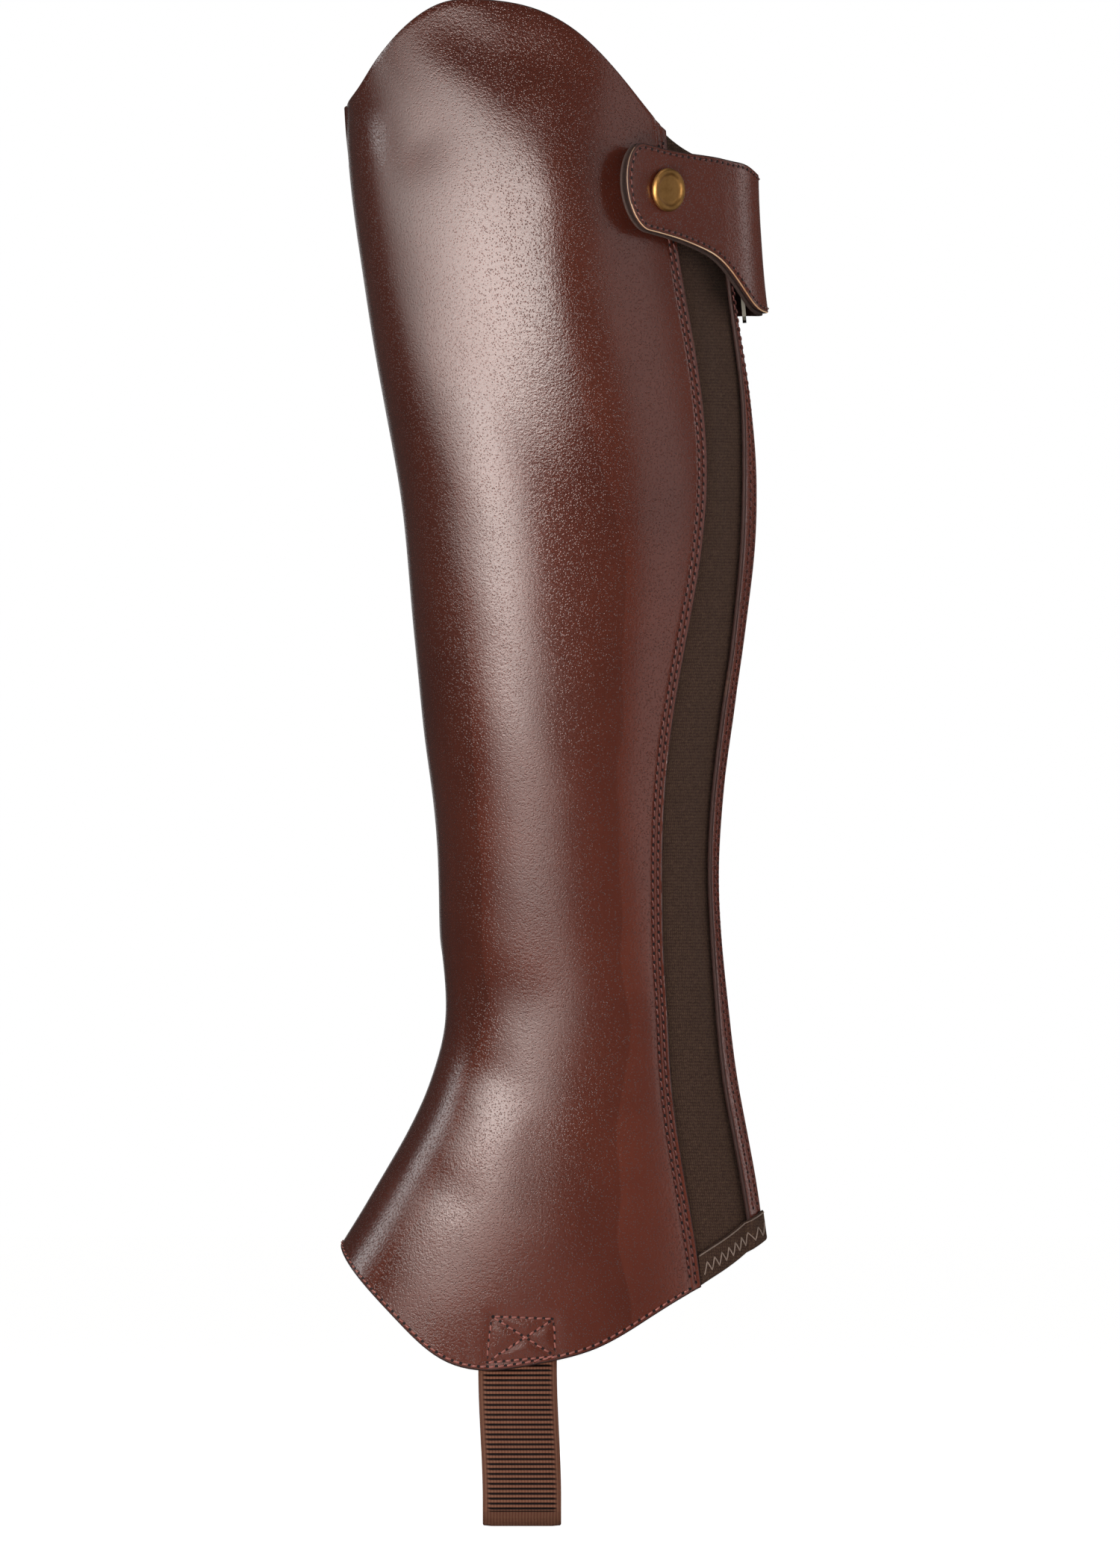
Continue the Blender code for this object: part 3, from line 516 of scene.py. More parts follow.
def distance_at(station, height):
    """How far a line of the cutting pattern lies from the zip at a height, along the wall"""
    station, height = (a.astype(float) for a in np.broadcast_arrays(station, height))
    around = girth(height)
    places = (-ZIP_HALF_GAP, 0, ZIP_HALF_GAP, section("stay", height), section("seam", height))
    places = np.stack(np.broadcast_arrays(*places, around - ZIP_HALF_GAP, around), axis=-1)
    i = np.clip(np.searchsorted(PATTERN_LINES, station, side="right") - 1, 0, len(PATTERN_LINES) - 2)
    share = (station - PATTERN_LINES[i]) / (PATTERN_LINES[i + 1] - PATTERN_LINES[i])
    low = np.take_along_axis(places, i[..., None], -1)[..., 0]
    high = np.take_along_axis(places, i[..., None] + 1, -1)[..., 0]
    return low + (high - low) * share


# %% [markdown]
# The top edge rises to a rounded point on the outer side, and the bottom edge dips over the boot.
# Each is a smooth curve through a table of pattern lines and the edge's heights there.

# %% Top and bottom edges
TOP_EDGE = np.array(
    (
        (-47, 91.0), (-42, 91.0), (-25, 92.2), (-9, 96.4), (0, 101.6), (14, 115.7),
        (30, 131.4), (48, 140.9), (65, 143.6), (81, 142.4), (97, 132.9), (113, 120.2),
        (141, 110.4), (180, 104.0), (240, 98.0), (320, 92.0), (330, 91.5),
    )
)
BOTTOM_EDGE = np.array(
    (
        (-47, -252.5), (-42, -253.5), (-30, -257.5), (-15, -263.5), (0, -269.4),
        (17, -278.3), (35, -288.9), (52, -293.9), (68, -296.0), (80, -292.8),
        (97, -280.6), (113, -269.4), (131, -260.0), (147, -256.1), (163, -259.5),
        (182, -270.5), (205, -286.0), (226, -292.0), (250, -284.0), (285, -263.0),
        (320, -253.5), (330, -252.5),
    )
)


def edge_height(edge, station):
    """Where the top or bottom edge runs at a line of the cutting pattern"""
    return spline(edge[:, 0], edge[:, 1], station)


# %% [markdown]
# ## Meshes
# Each piece says which body it moves with and which solids of the model it stands for. Its points
# also keep where they lie on the cutting pattern, in millimetres, in an attribute named cut, so that
# a weave follows the cloth and not the room.

# %% Objects from points
def dress(piece, body, slot, *nodes):
    """Let a piece move with a body and stand for solids of the model. The slot is not used."""
    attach(piece, body)
    if nodes:
        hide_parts(*nodes)
    print(piece.name, "of", len(piece.data.polygons), "faces moves with", body)
    return piece


def mesh_object(name, points, faces, materials, kinds=None, cut=None):
    """An object from points in millimetres, with a material number for each face"""
    mesh = bpy.data.meshes.new(name)
    mesh.from_pydata((points * MM).tolist(), [], faces)
    for material in materials:
        mesh.materials.append(material)
    if kinds is not None:
        mesh.polygons.foreach_set("material_index", np.asarray(kinds, np.int32))
    if cut is not None:
        layer = mesh.attributes.new("cut", "FLOAT_VECTOR", "POINT")
        layer.data.foreach_set("vector", np.asarray(cut, np.float32).ravel())
    mesh.shade_smooth()
    mesh.update()
    made = bpy.data.objects.new(name, mesh)
    bpy.context.scene.collection.objects.link(made)
    return made


# %% [markdown]
# A piece of leather or cloth is a closed thin shell: a fine grid of points for its face, another for
# its back, and a rim that is rounded as a cut edge is once it has been handled. A solidify modifier
# does much the same, but it leaves square rims. The shell is written out by hand so that the rim can
# be rounded and can take its own material, because a cut edge looks unlike the face.

# %% Thin shells
FACE, BACK, RIM = 0, 1, 2


def shell(name, point, thickness, materials, round_share=0.35):
    """A closed sheet. point(inset, out) gives a grid of points and their places on the pattern"""
    edge = round_share * thickness
    arc = [radians(a) for a in (30, 60, 90)]
    rim = [(edge * (1 - sin(a)), edge * (1 - cos(a))) for a in arc]
    rim += [(inset, thickness - depth) for inset, depth in reversed(rim)]
    face, face_cut = point(edge, 0.0)
    back, back_cut = point(edge, -thickness)
    columns, rows = face.shape[:2]
    index = np.arange(columns * rows).reshape(columns, rows)
    border = np.concatenate((index[:, 0], index[-1, 1:], index[-2::-1, -1], index[0, -2:0:-1]))
    points, cuts = [face.reshape(-1, 3)], [face_cut.reshape(-1, 3)]
    for inset, depth in rim:
        ring, ring_cut = point(inset, -depth)
        points.append(ring.reshape(-1, 3)[border])
        cuts.append(ring_cut.reshape(-1, 3)[border])
    points.append(back.reshape(-1, 3))
    cuts.append(back_cut.reshape(-1, 3))
    corner = (index[:-1, :-1], index[:-1, 1:], index[1:, 1:], index[1:, :-1])
    face_quads = np.stack(corner, -1).reshape(-1, 4)
    back_start = columns * rows + len(rim) * len(border)
    back_quads = face_quads[:, ::-1] + back_start
    loops = [border]
    loops += [columns * rows + k * len(border) + np.arange(len(border)) for k in range(len(rim))]
    loops.append(border + back_start)
    rim_quads = np.concatenate(
        [np.stack((a, np.roll(a, -1), np.roll(b, -1), b), -1) for a, b in zip(loops, loops[1:])]
    )
    kinds = [FACE] * len(face_quads) + [RIM] * len(rim_quads) + [BACK] * len(back_quads)
    faces = np.concatenate((face_quads, rim_quads, back_quads)).tolist()
    made = mesh_object(name, np.concatenate(points), faces, materials, kinds, np.concatenate(cuts))
    area = sum(p.area for p in made.data.polygons)
    print(name, "has", round(area / 2 * 1e4, 1), "cm2 of cloth")
    return made


# %% [markdown]
# A piece with a section that isn't a plain sheet, such as a folded hem or a pressed cap, is lofted:
# closed outlines in a row are joined by faces, and the first and the last are filled.

# %% Lofts
def lofted(name, outlines, material, cut=None):
    """A closed solid through outlines that have as many points each"""
    loops = np.asarray(outlines)
    count, size = loops.shape[:2]
    index = np.arange(count * size).reshape(count, size)
    ahead = np.roll(index, -1, axis=1)
    faces = np.stack((index[:-1], index[1:], ahead[1:], ahead[:-1]), -1).reshape(-1, 4).tolist()
    faces += [index[0].tolist(), index[-1][::-1].tolist()]
    return mesh_object(name, loops.reshape(-1, 3), faces, [material], cut=cut)


# %% [markdown]
# ## Leather
# Smooth full-grain cowhide, dyed brown, waxed and rubbed to a gloss. The dye sits unevenly, so the
# brown drifts over a few centimetres. Hair pores leave small pits, duller than the rubbed skin between
# them and darker, partly for dye that gathers in them and partly as painted shade in the hollows. A
# picture of leather could show that, but nodes stay sharp at any size. Leather's IOR is near 1.5.
# Real pores lie 0.3 to 0.5 mm apart, too fine for the render, so they are drawn 0.7 mm apart.

# %% Waxed full-grain leather
WAXED_LEATHER, tree, shader = finish(
    "Waxed full-grain cowhide", "#5b2d23", 0.18, IOR=1.5, Specular_IOR_Level=0.6
)
place = node(tree, "ShaderNodeTexCoord").outputs["Object"]
dye = node(
    tree,
    "ShaderNodeTexNoise",
    {"Scale": per_metre(38), "Detail": 3.0, "Roughness": 0.55},
    {"Vector": place},
)
pores = node(
    tree,
    "ShaderNodeTexVoronoi",
    {"feature": "F1", "Scale": per_metre(0.7), "Randomness": 1.0},
    {"Vector": place},
)
dyed = node(
    tree,
    "ShaderNodeMix",
    {"data_type": "RGBA", 6: linear("#5e2d23"), 7: linear("#7a3d2e")},
    {0: dye.outputs["Fac"]},
)
grain = node(
    tree,
    "ShaderNodeMapRange",
    {"From Min": 0.1, "From Max": 0.4, "interpolation_type": "SMOOTHSTEP"},
    {"Value": pores.outputs["Distance"]},
)
# the pits are darkened, partly as dye gathered there and partly as painted shade in the hollows
pits_dyed_and_shaded = node(
    tree,
    "ShaderNodeMix",
    {"data_type": "RGBA", 6: linear("#4d231a")},
    {0: grain.outputs[0], 7: dyed.outputs[2]},
)
tree.links.new(pits_dyed_and_shaded.outputs[2], shader.inputs["Base Color"])

# %% [markdown]
# The gloss is what makes this leather, so the grain goes into it too. The pits are rough and the skin
# between them is smooth. Pits 0.055 mm deep and soft swellings 0.8 mm wide break the highlight into
# a fine sparkle.

# %% Gloss and relief of the leather
hair = node(
    tree,
    "ShaderNodeTexNoise",
    {"Scale": per_metre(0.8), "Detail": 2.0, "Roughness": 0.55, "Distortion": 0.4},
    {"Vector": place},
)
worn = node(
    tree,
    "ShaderNodeMapRange",
    {"To Min": 0.42, "To Max": 0.15},
    {"Value": grain.outputs[0]},
)
tree.links.new(worn.outputs[0], shader.inputs["Roughness"])
pits = node(
    tree,
    "ShaderNodeBump",
    {"Strength": 1.0, "Distance": 0.055 * MM},
    {"Height": grain.outputs[0]},
)
fibre = node(
    tree,
    "ShaderNodeBump",
    {"Strength": 1.0, "Distance": 0.09 * MM},
    {"Height": hair.outputs["Fac"], "Normal": pits.outputs[0]},
)
tree.links.new(fibre.outputs[0], shader.inputs["Normal"])

# %% [markdown]
# The back of the hide is its flesh side, a short matt nap with darker and lighter blotches. Sheen
# gives the pale bloom that the nap has when it is seen from the side. The fibres of a nap are finer
# than a tenth of a millimetre, so the render gets clumps of them, 0.7 mm across.

# %% Flesh side of the hide
FLESH_SIDE, tree, shader = finish(
    "Flesh side of the hide", "#5b3a2b", 0.92, IOR=1.45, Sheen_Weight=0.25, Sheen_Roughness=0.6
)
place = node(tree, "ShaderNodeTexCoord").outputs["Object"]
nap = node(
    tree,
    "ShaderNodeTexNoise",
    {"Scale": per_metre(0.7), "Detail": 6.0, "Roughness": 0.7},
    {"Vector": place},
)
blotch = node(tree, "ShaderNodeTexNoise", {"Scale": per_metre(14), "Detail": 4.0}, {"Vector": place})
napped = node(
    tree,
    "ShaderNodeMix",
    {"data_type": "RGBA", 6: linear("#3d2519"), 7: linear("#74503b")},
    {0: blotch.outputs["Fac"]},
)
tree.links.new(napped.outputs[2], shader.inputs["Base Color"])
raised = node(
    tree, "ShaderNodeBump", {"Strength": 0.8, "Distance": 0.2 * MM}, {"Height": nap.outputs["Fac"]}
)
tree.links.new(raised.outputs[0], shader.inputs["Normal"])

# %% [markdown]
# A cut edge shows the fibres of the hide in layers. The panel's and the stay's were dyed and rubbed
# down by hand, and the pale raw leather shows where the dye has worn off. The tab's lower edge was
# left raw.

# %% Cut edges
def cut_edge(name, dyed_colour, raw_colour, worn_from, worn_to):
    """A cut edge that is worn from one colour to another in patches"""
    made, tree, shader = finish(name, dyed_colour, 0.6, IOR=1.48)
    place = node(tree, "ShaderNodeTexCoord").outputs["Object"]
    patch = node(tree, "ShaderNodeTexNoise", {"Scale": per_metre(22), "Detail": 5.0}, {"Vector": place})
    wear = node(
        tree,
        "ShaderNodeMapRange",
        {"From Min": worn_from, "From Max": worn_to},
        {"Value": patch.outputs["Fac"]},
    )
    colour = node(
        tree,
        "ShaderNodeMix",
        {"data_type": "RGBA", 6: linear(dyed_colour), 7: linear(raw_colour)},
        {0: wear.outputs[0]},
    )
    tree.links.new(colour.outputs[2], shader.inputs["Base Color"])
    strands = node(
        tree, "ShaderNodeTexNoise", {"Scale": per_metre(0.5), "Detail": 4.0}, {"Vector": place}
    )
    rough = node(
        tree,
        "ShaderNodeBump",
        {"Strength": 0.6, "Distance": 0.15 * MM},
        {"Height": strands.outputs["Fac"]},
    )
    tree.links.new(rough.outputs[0], shader.inputs["Normal"])
    return made


DYED_EDGE = cut_edge("Dyed cut edge of the hide", "#371a13", "#8f6244", 0.66, 0.8)
RAW_EDGE = cut_edge("Raw cut edge of the tab", "#c08558", "#efcaa4", 0.3, 0.6)

# %% [markdown]
# ## The leather panel
# One hide piece wraps from the outer seam over the shin to the zip on the inner side. Its edge at
# the outer seam lies over the elastic as a lip, held by two rows of stitches that pull it into two
# shallow channels. The grid is finer near that lip so that the channels are real dips.

# %% Grid of the panel
# first and last line of a stretch of the pattern, and how fine its grid is: finest at the seams, and
# fine where the cross boxes are
STRETCHES = (
    (0, 7, 0.7), (7, 46, 2.2), (46, 70, 1.0), (70, 221, 2.2),
    (221, 246, 1.0), (246, 313, 2.2), (313, 320, 0.7),
)
PANEL_STATIONS = np.unique(
    np.concatenate([np.linspace(a, b, round((b - a) / step) + 1) for a, b, step in STRETCHES]).round(4)
)
# the cross boxes lie in this lowest share of the height, where rows are closer too
FINE_SHARE = 0.046
PANEL_ROWS = np.concatenate((np.linspace(0, FINE_SHARE, 22)[:-1], np.linspace(FINE_SHARE, 1, 188)))
print("panel grid:", len(PANEL_STATIONS), "by", len(PANEL_ROWS))

# %% [markdown]
# Every point of the panel is a place on the pattern: a line of it, and a share of the height between
# the two edges. Near its cut edges the wall is pulled in by the stitches, less so on the back.

# %% Leather panel
# how far the two rows of stitches lie from the edge, and the channels that they pull
SEAM_ROWS = (1.9, 3.9)
CHANNEL_DEPTH, CHANNEL_WIDTH = 0.35, 0.65


def channels(from_edge):
    """How deep two rows of stitches pull the leather in, by the distance from its edge"""
    return sum(-CHANNEL_DEPTH * np.exp(-(((from_edge - row) / CHANNEL_WIDTH) ** 2)) for row in SEAM_ROWS)


def panel_point(inset, out):
    """The panel's grid at an inset from its edges and a depth"""
    low = edge_height(BOTTOM_EDGE, PANEL_STATIONS) + inset
    high = edge_height(TOP_EDGE, PANEL_STATIONS) - inset
    height = low[:, None] + (high - low)[:, None] * PANEL_ROWS[None]
    seam = section("seam", height)
    end = girth(height) - ZIP_HALF_GAP
    distance = distance_at(PANEL_STATIONS[:, None], height)
    distance = np.clip(distance, seam + inset, end - inset)
    pull = channels(distance - seam) + channels(end - distance)
    points, _ = wall(distance, height, out + pull * (1 if out > -LEATHER else 0.5))
    cut = np.stack((distance - seam, height, 0 * height), -1)
    return points, cut


panel = shell("panel_leather", panel_point, LEATHER, (WAXED_LEATHER, FLESH_SIDE, DYED_EDGE))
dress(panel, "chap", "leather", "leather_panel")

# %% [markdown]
# ## Elastics and thread
# The gore is a flat woven elastic, dull and dark, with lighter yarn showing in specks. A low
# specular level keeps it dull, as yarn scatters light. Textile IOR is near 1.5. Its yarns are about
# 0.4 mm apart, too fine for the render, so warp and weft are drawn about 1 mm apart.

# %% Woven elastic
WAVE_REPEAT = 0.314  # a wave texture of scale 1 repeats after this many of its units


def per_band(pitch_mm):
    """A wave texture's scale when its bands lie this many millimetres apart on the cut"""
    return WAVE_REPEAT / pitch_mm


GORE_CLOTH, tree, shader = finish(
    "Woven elastic of the gore", "#3b2a20", 0.92, IOR=1.5, Specular_IOR_Level=0.2
)
cut = node(tree, "ShaderNodeAttribute", {"attribute_name": "cut"}).outputs["Vector"]
warp = node(
    tree,
    "ShaderNodeTexWave",
    {"bands_direction": "X", "Scale": per_band(0.9), "Distortion": 0.6, "Detail Scale": 2.0},
    {"Vector": cut},
)
weft = node(
    tree,
    "ShaderNodeTexWave",
    {"bands_direction": "Y", "Scale": per_band(1.0), "Distortion": 2.5, "Detail Scale": 2.0},
    {"Vector": cut},
)
weave = node(
    tree,
    "ShaderNodeMath",
    {"operation": "MULTIPLY"},
    {0: warp.outputs["Fac"], 1: weft.outputs["Fac"]},
)
# specks just under a millimetre wide, where a lighter yarn comes up
picks = node(
    tree, "ShaderNodeTexNoise", {"Scale": 1.1, "Detail": 3.0, "Distortion": 1.5}, {"Vector": cut}
)
speck = node(
    tree, "ShaderNodeMapRange", {"From Min": 0.4, "From Max": 0.72}, {"Value": picks.outputs["Fac"]}
)
mixed = node(
    tree, "ShaderNodeMix", {"data_type": "FLOAT", 0: 0.5}, {2: weave.outputs[0], 3: speck.outputs[0]}
)
woven = node(
    tree,
    "ShaderNodeMix",
    {"data_type": "RGBA", 6: linear("#33211a"), 7: linear("#5f4737")},
    {0: mixed.outputs[0]},
)
tree.links.new(woven.outputs[2], shader.inputs["Base Color"])
knots = node(
    tree, "ShaderNodeBump", {"Strength": 0.7, "Distance": 0.25 * MM}, {"Height": mixed.outputs[0]}
)
tree.links.new(knots.outputs[0], shader.inputs["Normal"])

# %% [markdown]
# Nylon thread is smooth and twisted: its plies show as changes of tone 1.6 mm apart. A needle hole
# in leather is drawn as painted shade: a flat dark patch over it.

# %% Thread and the painted shade of needle holes
def thread(name, colour, light):
    """Twisted nylon thread in one colour"""
    made, tree, shader = finish(name, colour, 0.5, IOR=1.53, Sheen_Weight=0.15)
    place = node(tree, "ShaderNodeTexCoord").outputs["Object"]
    ply = node(tree, "ShaderNodeTexNoise", {"Scale": per_metre(1.6), "Detail": 2.0}, {"Vector": place})
    mixed = node(
        tree,
        "ShaderNodeMix",
        {"data_type": "RGBA", 6: linear(colour), 7: linear(light)},
        {0: ply.outputs["Fac"]},
    )
    tree.links.new(mixed.outputs[2], shader.inputs["Base Color"])
    return made


RED_THREAD = thread("Red-brown nylon thread", "#4f1f19", "#7c3b2f")
BRIGHT_THREAD = thread("Fresh red-brown nylon thread", "#7a3428", "#b5695a")
HEM_THREAD = thread("Light brown nylon thread", "#6b5347", "#a08878")
# painted shade: a near-black patch stands for the shade inside a needle hole
PAINTED_HOLE_SHADE, tree, shader = finish("Painted shade of a needle hole", "#1a0706", 0.9)

# %% [markdown]
# ## Stitches
# A machine lockstitch shows as short raised beads of thread that dive into a hole at each end. A
# dashed texture would be lighter, but the beads catch light from every side, so each one is a small
# tube, bent up in the middle, with a patch of painted shade for the hole under each end.

# %% Tubes along paths
TUBE_SIDES = 6


def tubes(centres, sideways, normals, radius):
    """Closed round tubes along many short paths at once: centres is tubes by steps by 3"""
    turn = np.arange(TUBE_SIDES) / TUBE_SIDES * 2 * pi
    across = sideways[..., None, :] * np.cos(turn)[:, None]
    across = across + normals[..., None, :] * np.sin(turn)[:, None]
    points = centres[..., None, :] + across * radius[..., None, None]
    count, steps = centres.shape[:2]
    index = np.arange(count * steps * TUBE_SIDES).reshape(count, steps, TUBE_SIDES)
    ahead = np.roll(index, -1, axis=2)
    walls = np.stack((index[:, :-1], index[:, 1:], ahead[:, 1:], ahead[:, :-1]), -1).reshape(-1, 4)
    ends = np.concatenate((index[:, 0, ::-1], index[:, -1]))
    return points.reshape(-1, 3), walls.tolist() + ends.tolist()


def along_path(points, normals, pitch, start=0.0):
    """A way to read a path at any length, and the lengths a stitch apart from the start on"""
    steps = np.linalg.norm(np.diff(points, axis=0), axis=1)
    length = np.concatenate(([0], np.cumsum(steps)))
    count = max(int((length[-1] - start) / pitch), 1)

    def at(places):
        place = [np.interp(places, length, points[:, i]) for i in range(3)]
        normal = [np.interp(places, length, normals[:, i]) for i in range(3)]
        return np.stack(place, -1), unit(np.stack(normal, -1))

    return at, start + np.arange(count + 1) * pitch


# %% [markdown]
# Between two holes the thread swells, lies a little aslant and dives at both ends, so the stitches
# of a row look like grains in a line. The painted shade of each hole is wider than the thread, as a
# pierced hole is.

# %% Beads of thread and the painted shade of their holes
STITCH_STEPS = np.linspace(0, 1, 7)
# shares of the pitch that a bead leaves free and fills, how deep its ends dive and how far it leans
BEAD_FROM, BEAD_LONG, BEAD_DIVE, BEAD_LEAN = 0.12, 0.76, 0.3, 0.12
# sides, radius and lift of the patch of painted shade over each hole
SHADE_PATCH_SIDES, SHADE_PATCH_RADIUS, SHADE_PATCH_LIFT = 8, 0.6, 0.05


def beads(at, holes, pitch, radius, rise):
    """The thread of each stitch, which swells and rises between its two holes"""
    centre, up = at(holes[:-1, None] + (BEAD_FROM + BEAD_LONG * STITCH_STEPS[None]) * pitch)
    side = np.cross(unit(np.gradient(centre, axis=1)), up)
    swell = np.sin(pi * STITCH_STEPS) ** 0.6
    centre = centre + up * (swell * (rise + BEAD_DIVE) - BEAD_DIVE)[None, :, None]
    centre = centre + side * (BEAD_LEAN * (1 - 2 * STITCH_STEPS))[None, :, None]
    wide = np.broadcast_to(radius * (0.72 + 0.28 * swell), centre.shape[:2])
    return tubes(centre, side, up, wide)


def hole_shade_patches(at, holes):
    """A dark oval of painted shade over each hole, just above the leather"""
    spot, up = at(holes)
    step = unit(at(holes + 0.1)[0] - spot)
    side = np.cross(step, up)
    turn = np.arange(SHADE_PATCH_SIDES) / SHADE_PATCH_SIDES * 2 * pi
    patch = spot[:, None] + up[:, None] * SHADE_PATCH_LIFT
    patch = patch + step[:, None] * (SHADE_PATCH_RADIUS * np.cos(turn))[None, :, None]
    patch = patch - side[:, None] * (SHADE_PATCH_RADIUS * 0.85 * np.sin(turn))[None, :, None]
    faces = np.arange(len(spot) * SHADE_PATCH_SIDES).reshape(-1, SHADE_PATCH_SIDES)
    return patch.reshape(-1, 3), faces.tolist()


# %% [markdown]
# All stitches of a seam are one object, and not one each, so that hundreds of them stay easy to
# handle. Where a seam has two rows, the second starts half a stitch on.

# %% Rows of stitches
def stitches(name, paths, pitch, material, radius=0.3, rise=0.22):
    """A row of stitches along each path of points and normals, each second row half a stitch on"""
    points, faces, kinds = [], [], []

    def add(new_points, new_faces, kind):
        base = sum(len(p) for p in points)
        points.append(new_points)
        faces.extend([[base + i for i in face] for face in new_faces])
        kinds.extend([kind] * len(new_faces))

    for number, (path, normal) in enumerate(paths):
        at, holes = along_path(path, normal, pitch, start=(number % 2) * pitch / 2 + 0.4)
        add(*beads(at, holes, pitch, radius, rise), 0)
        # the patches of painted shade over the holes take the second material
        add(*hole_shade_patches(at, holes), 1)
    made = mesh_object(name, np.concatenate(points), faces, [material, PAINTED_HOLE_SHADE], kinds)
    return dress(made, "chap", "leather")


# %% [markdown]
# Both long edges of the panel are sewn twice, half a stitch apart. The thread lies low there, in the
# channels that it pulls. The bottom edge has one row close to the cut, in fresher thread.

# %% Seams of the panel
SEAM_PITCH, THREAD_DEPTH, HEM_ROW = 2.9, 0.2, 1.3
seam_heights = np.linspace(-267.2, 99.5, 500)
lip_rows = [
    wall(section("seam", seam_heights) + row, seam_heights - (6 - row) * 0.25, -THREAD_DEPTH)
    for row in SEAM_ROWS
]
stitches("lip_stitches", lip_rows, SEAM_PITCH, RED_THREAD)
zip_heights = np.linspace(-251, 90, 480)
zip_ends = girth(zip_heights) - ZIP_HALF_GAP
zip_rows = [wall(zip_ends - row, zip_heights, -THREAD_DEPTH) for row in SEAM_ROWS]
stitches("zip_side_stitches", zip_rows, SEAM_PITCH, RED_THREAD)


def beside(distance, height, offset):
    """A line that keeps its distance beside another on the flattened wall"""
    step = unit(np.stack((np.gradient(distance), np.gradient(height)), -1))
    return distance - step[:, 1] * offset, height + step[:, 0] * offset


hem_stations = np.linspace(3.5, 316.5, 900)
hem_heights = edge_height(BOTTOM_EDGE, hem_stations)
hem_line = beside(distance_at(hem_stations, hem_heights), hem_heights, HEM_ROW)
stitches("bottom_edge_stitches", [wall(*hem_line)], SEAM_PITCH, BRIGHT_THREAD)

# %% [markdown]
# The strap's ends are sewn behind the panel with a box and a cross, the usual sign of a seam that
# takes a pull. Their corners are known as seen from the side, so places there are turned into
# distances round the wall first.

# %% Cross boxes
BOX_PITCH = 2.7


def seen_place(x, height, side):
    """The distance from the zip of a place seen from the side"""
    i = np.clip(((height - HEIGHTS[0]) / HEIGHT_STEP).astype(int), 0, len(HEIGHTS) - 1)
    half = len(SHARES) // 2
    made = []
    for place, row in zip(x, i):
        xs, ds = RING_X[row], SHARES * GIRTH[row]
        if side == "outer":
            made.append(np.interp(place, xs[: half + 1][::-1], ds[: half + 1][::-1]))
        else:
            made.append(np.interp(place, xs[half:], ds[half:]))
    return np.array(made)


def straight(start, end, side):
    """A straight row of stitches between two places seen from the side"""
    share = np.linspace(0, 1, 40)
    x = start[0] + (end[0] - start[0]) * share
    z = start[1] + (end[1] - start[1]) * share
    return wall(seen_place(x, z, side), z)


for side in CROSS_BOXES:
    rows = [straight(start, end, side) for start, end in box_lines(side)]
    stitches("strap_box_" + side, rows, BOX_PITCH, BRIGHT_THREAD, rise=0.2)

# %% [markdown]
# ## Gore, hem and zip stay
# The gore is a strip of elastic under the lip and under the narrow leather stay beside the zip. It
# carries no seams of its own, so it is a plain shell at its own depth. It ends inside the fold of
# the hem.

# %% Elastic gore
GORE_STATIONS = np.concatenate((np.linspace(TAPE_EDGE + GAP, 0, 26), np.linspace(1, LIP, 5)))
STRIP_ROWS = np.linspace(0, 1, 190)
FOLD_HANGS = 1.6  # how far the hem's fold hangs below the pieces that end in it


def gore_point(inset, out):
    """The gore's grid, which ends inside the folded hem"""
    stations = np.clip(GORE_STATIONS, GORE_STATIONS[0] + inset, GORE_STATIONS[-1] - inset)
    low = edge_height(BOTTOM_EDGE, stations) + FOLD_HANGS + inset
    high = edge_height(TOP_EDGE, stations) - inset
    height = low[:, None] + (high - low)[:, None] * STRIP_ROWS[None]
    distance = distance_at(stations[:, None], height)
    points, _ = wall(distance, height, out - LEATHER - GAP)
    return points, np.stack((distance, height, 0 * height), -1)


gore = shell("gore_elastic", gore_point, ELASTIC, (GORE_CLOTH, GORE_CLOTH, GORE_CLOTH))
dress(gore, "chap", "gore_elastic", "elastic_gore")

# %% [markdown]
# The stay is a narrow strip of the same leather over the edges of the gore and the zip tape, sewn
# down with two rows. It tapers with the gore, so its rows keep their share of its width.

# %% Zip stay
STAY_COLUMNS = np.linspace(0, 1, 9)
STAY_SEAMS = (0.27, 0.62)


def stay_point(inset, out):
    """The stay's grid between its rear and its front edge"""
    edges = (STAY_REAR, STAY_FRONT)
    lows = [edge_height(BOTTOM_EDGE, s) + FOLD_HANGS + inset for s in edges]
    tops = [edge_height(TOP_EDGE, s) - inset for s in edges]
    start = lows[0] + (lows[1] - lows[0]) * STAY_COLUMNS
    end = tops[0] + (tops[1] - tops[0]) * STAY_COLUMNS
    height = start[:, None] + (end - start)[:, None] * STRIP_ROWS[None]
    width = section("stay", height) - ZIP_HALF_GAP
    distance = ZIP_HALF_GAP + inset + STAY_COLUMNS[:, None] * (width - 2 * inset)
    points, _ = wall(distance, height, out)
    return points, np.stack((distance, height, 0 * height), -1)


stay = shell("stay_leather", stay_point, LEATHER, (WAXED_LEATHER, FLESH_SIDE, DYED_EDGE))
dress(stay, "chap", "leather", "zip_stay")
stay_heights = np.linspace(-246, 89, 480)
stay_widths = section("stay", stay_heights) - ZIP_HALF_GAP
stay_rows = [wall(ZIP_HALF_GAP + share * stay_widths, stay_heights) for share in STAY_SEAMS]
stitches("stay_stitches", stay_rows, SEAM_PITCH, RED_THREAD, radius=0.27)

# %% [markdown]
# The gore's lower end is bound with a folded strip of thinner elastic that takes in the end of the
# stay too. A fold can be simulated, but its lips have to lie close to what they hold, so its section
# is drawn at each place and lofted. Where the stay ends, the outer lip steps down on to the gore.

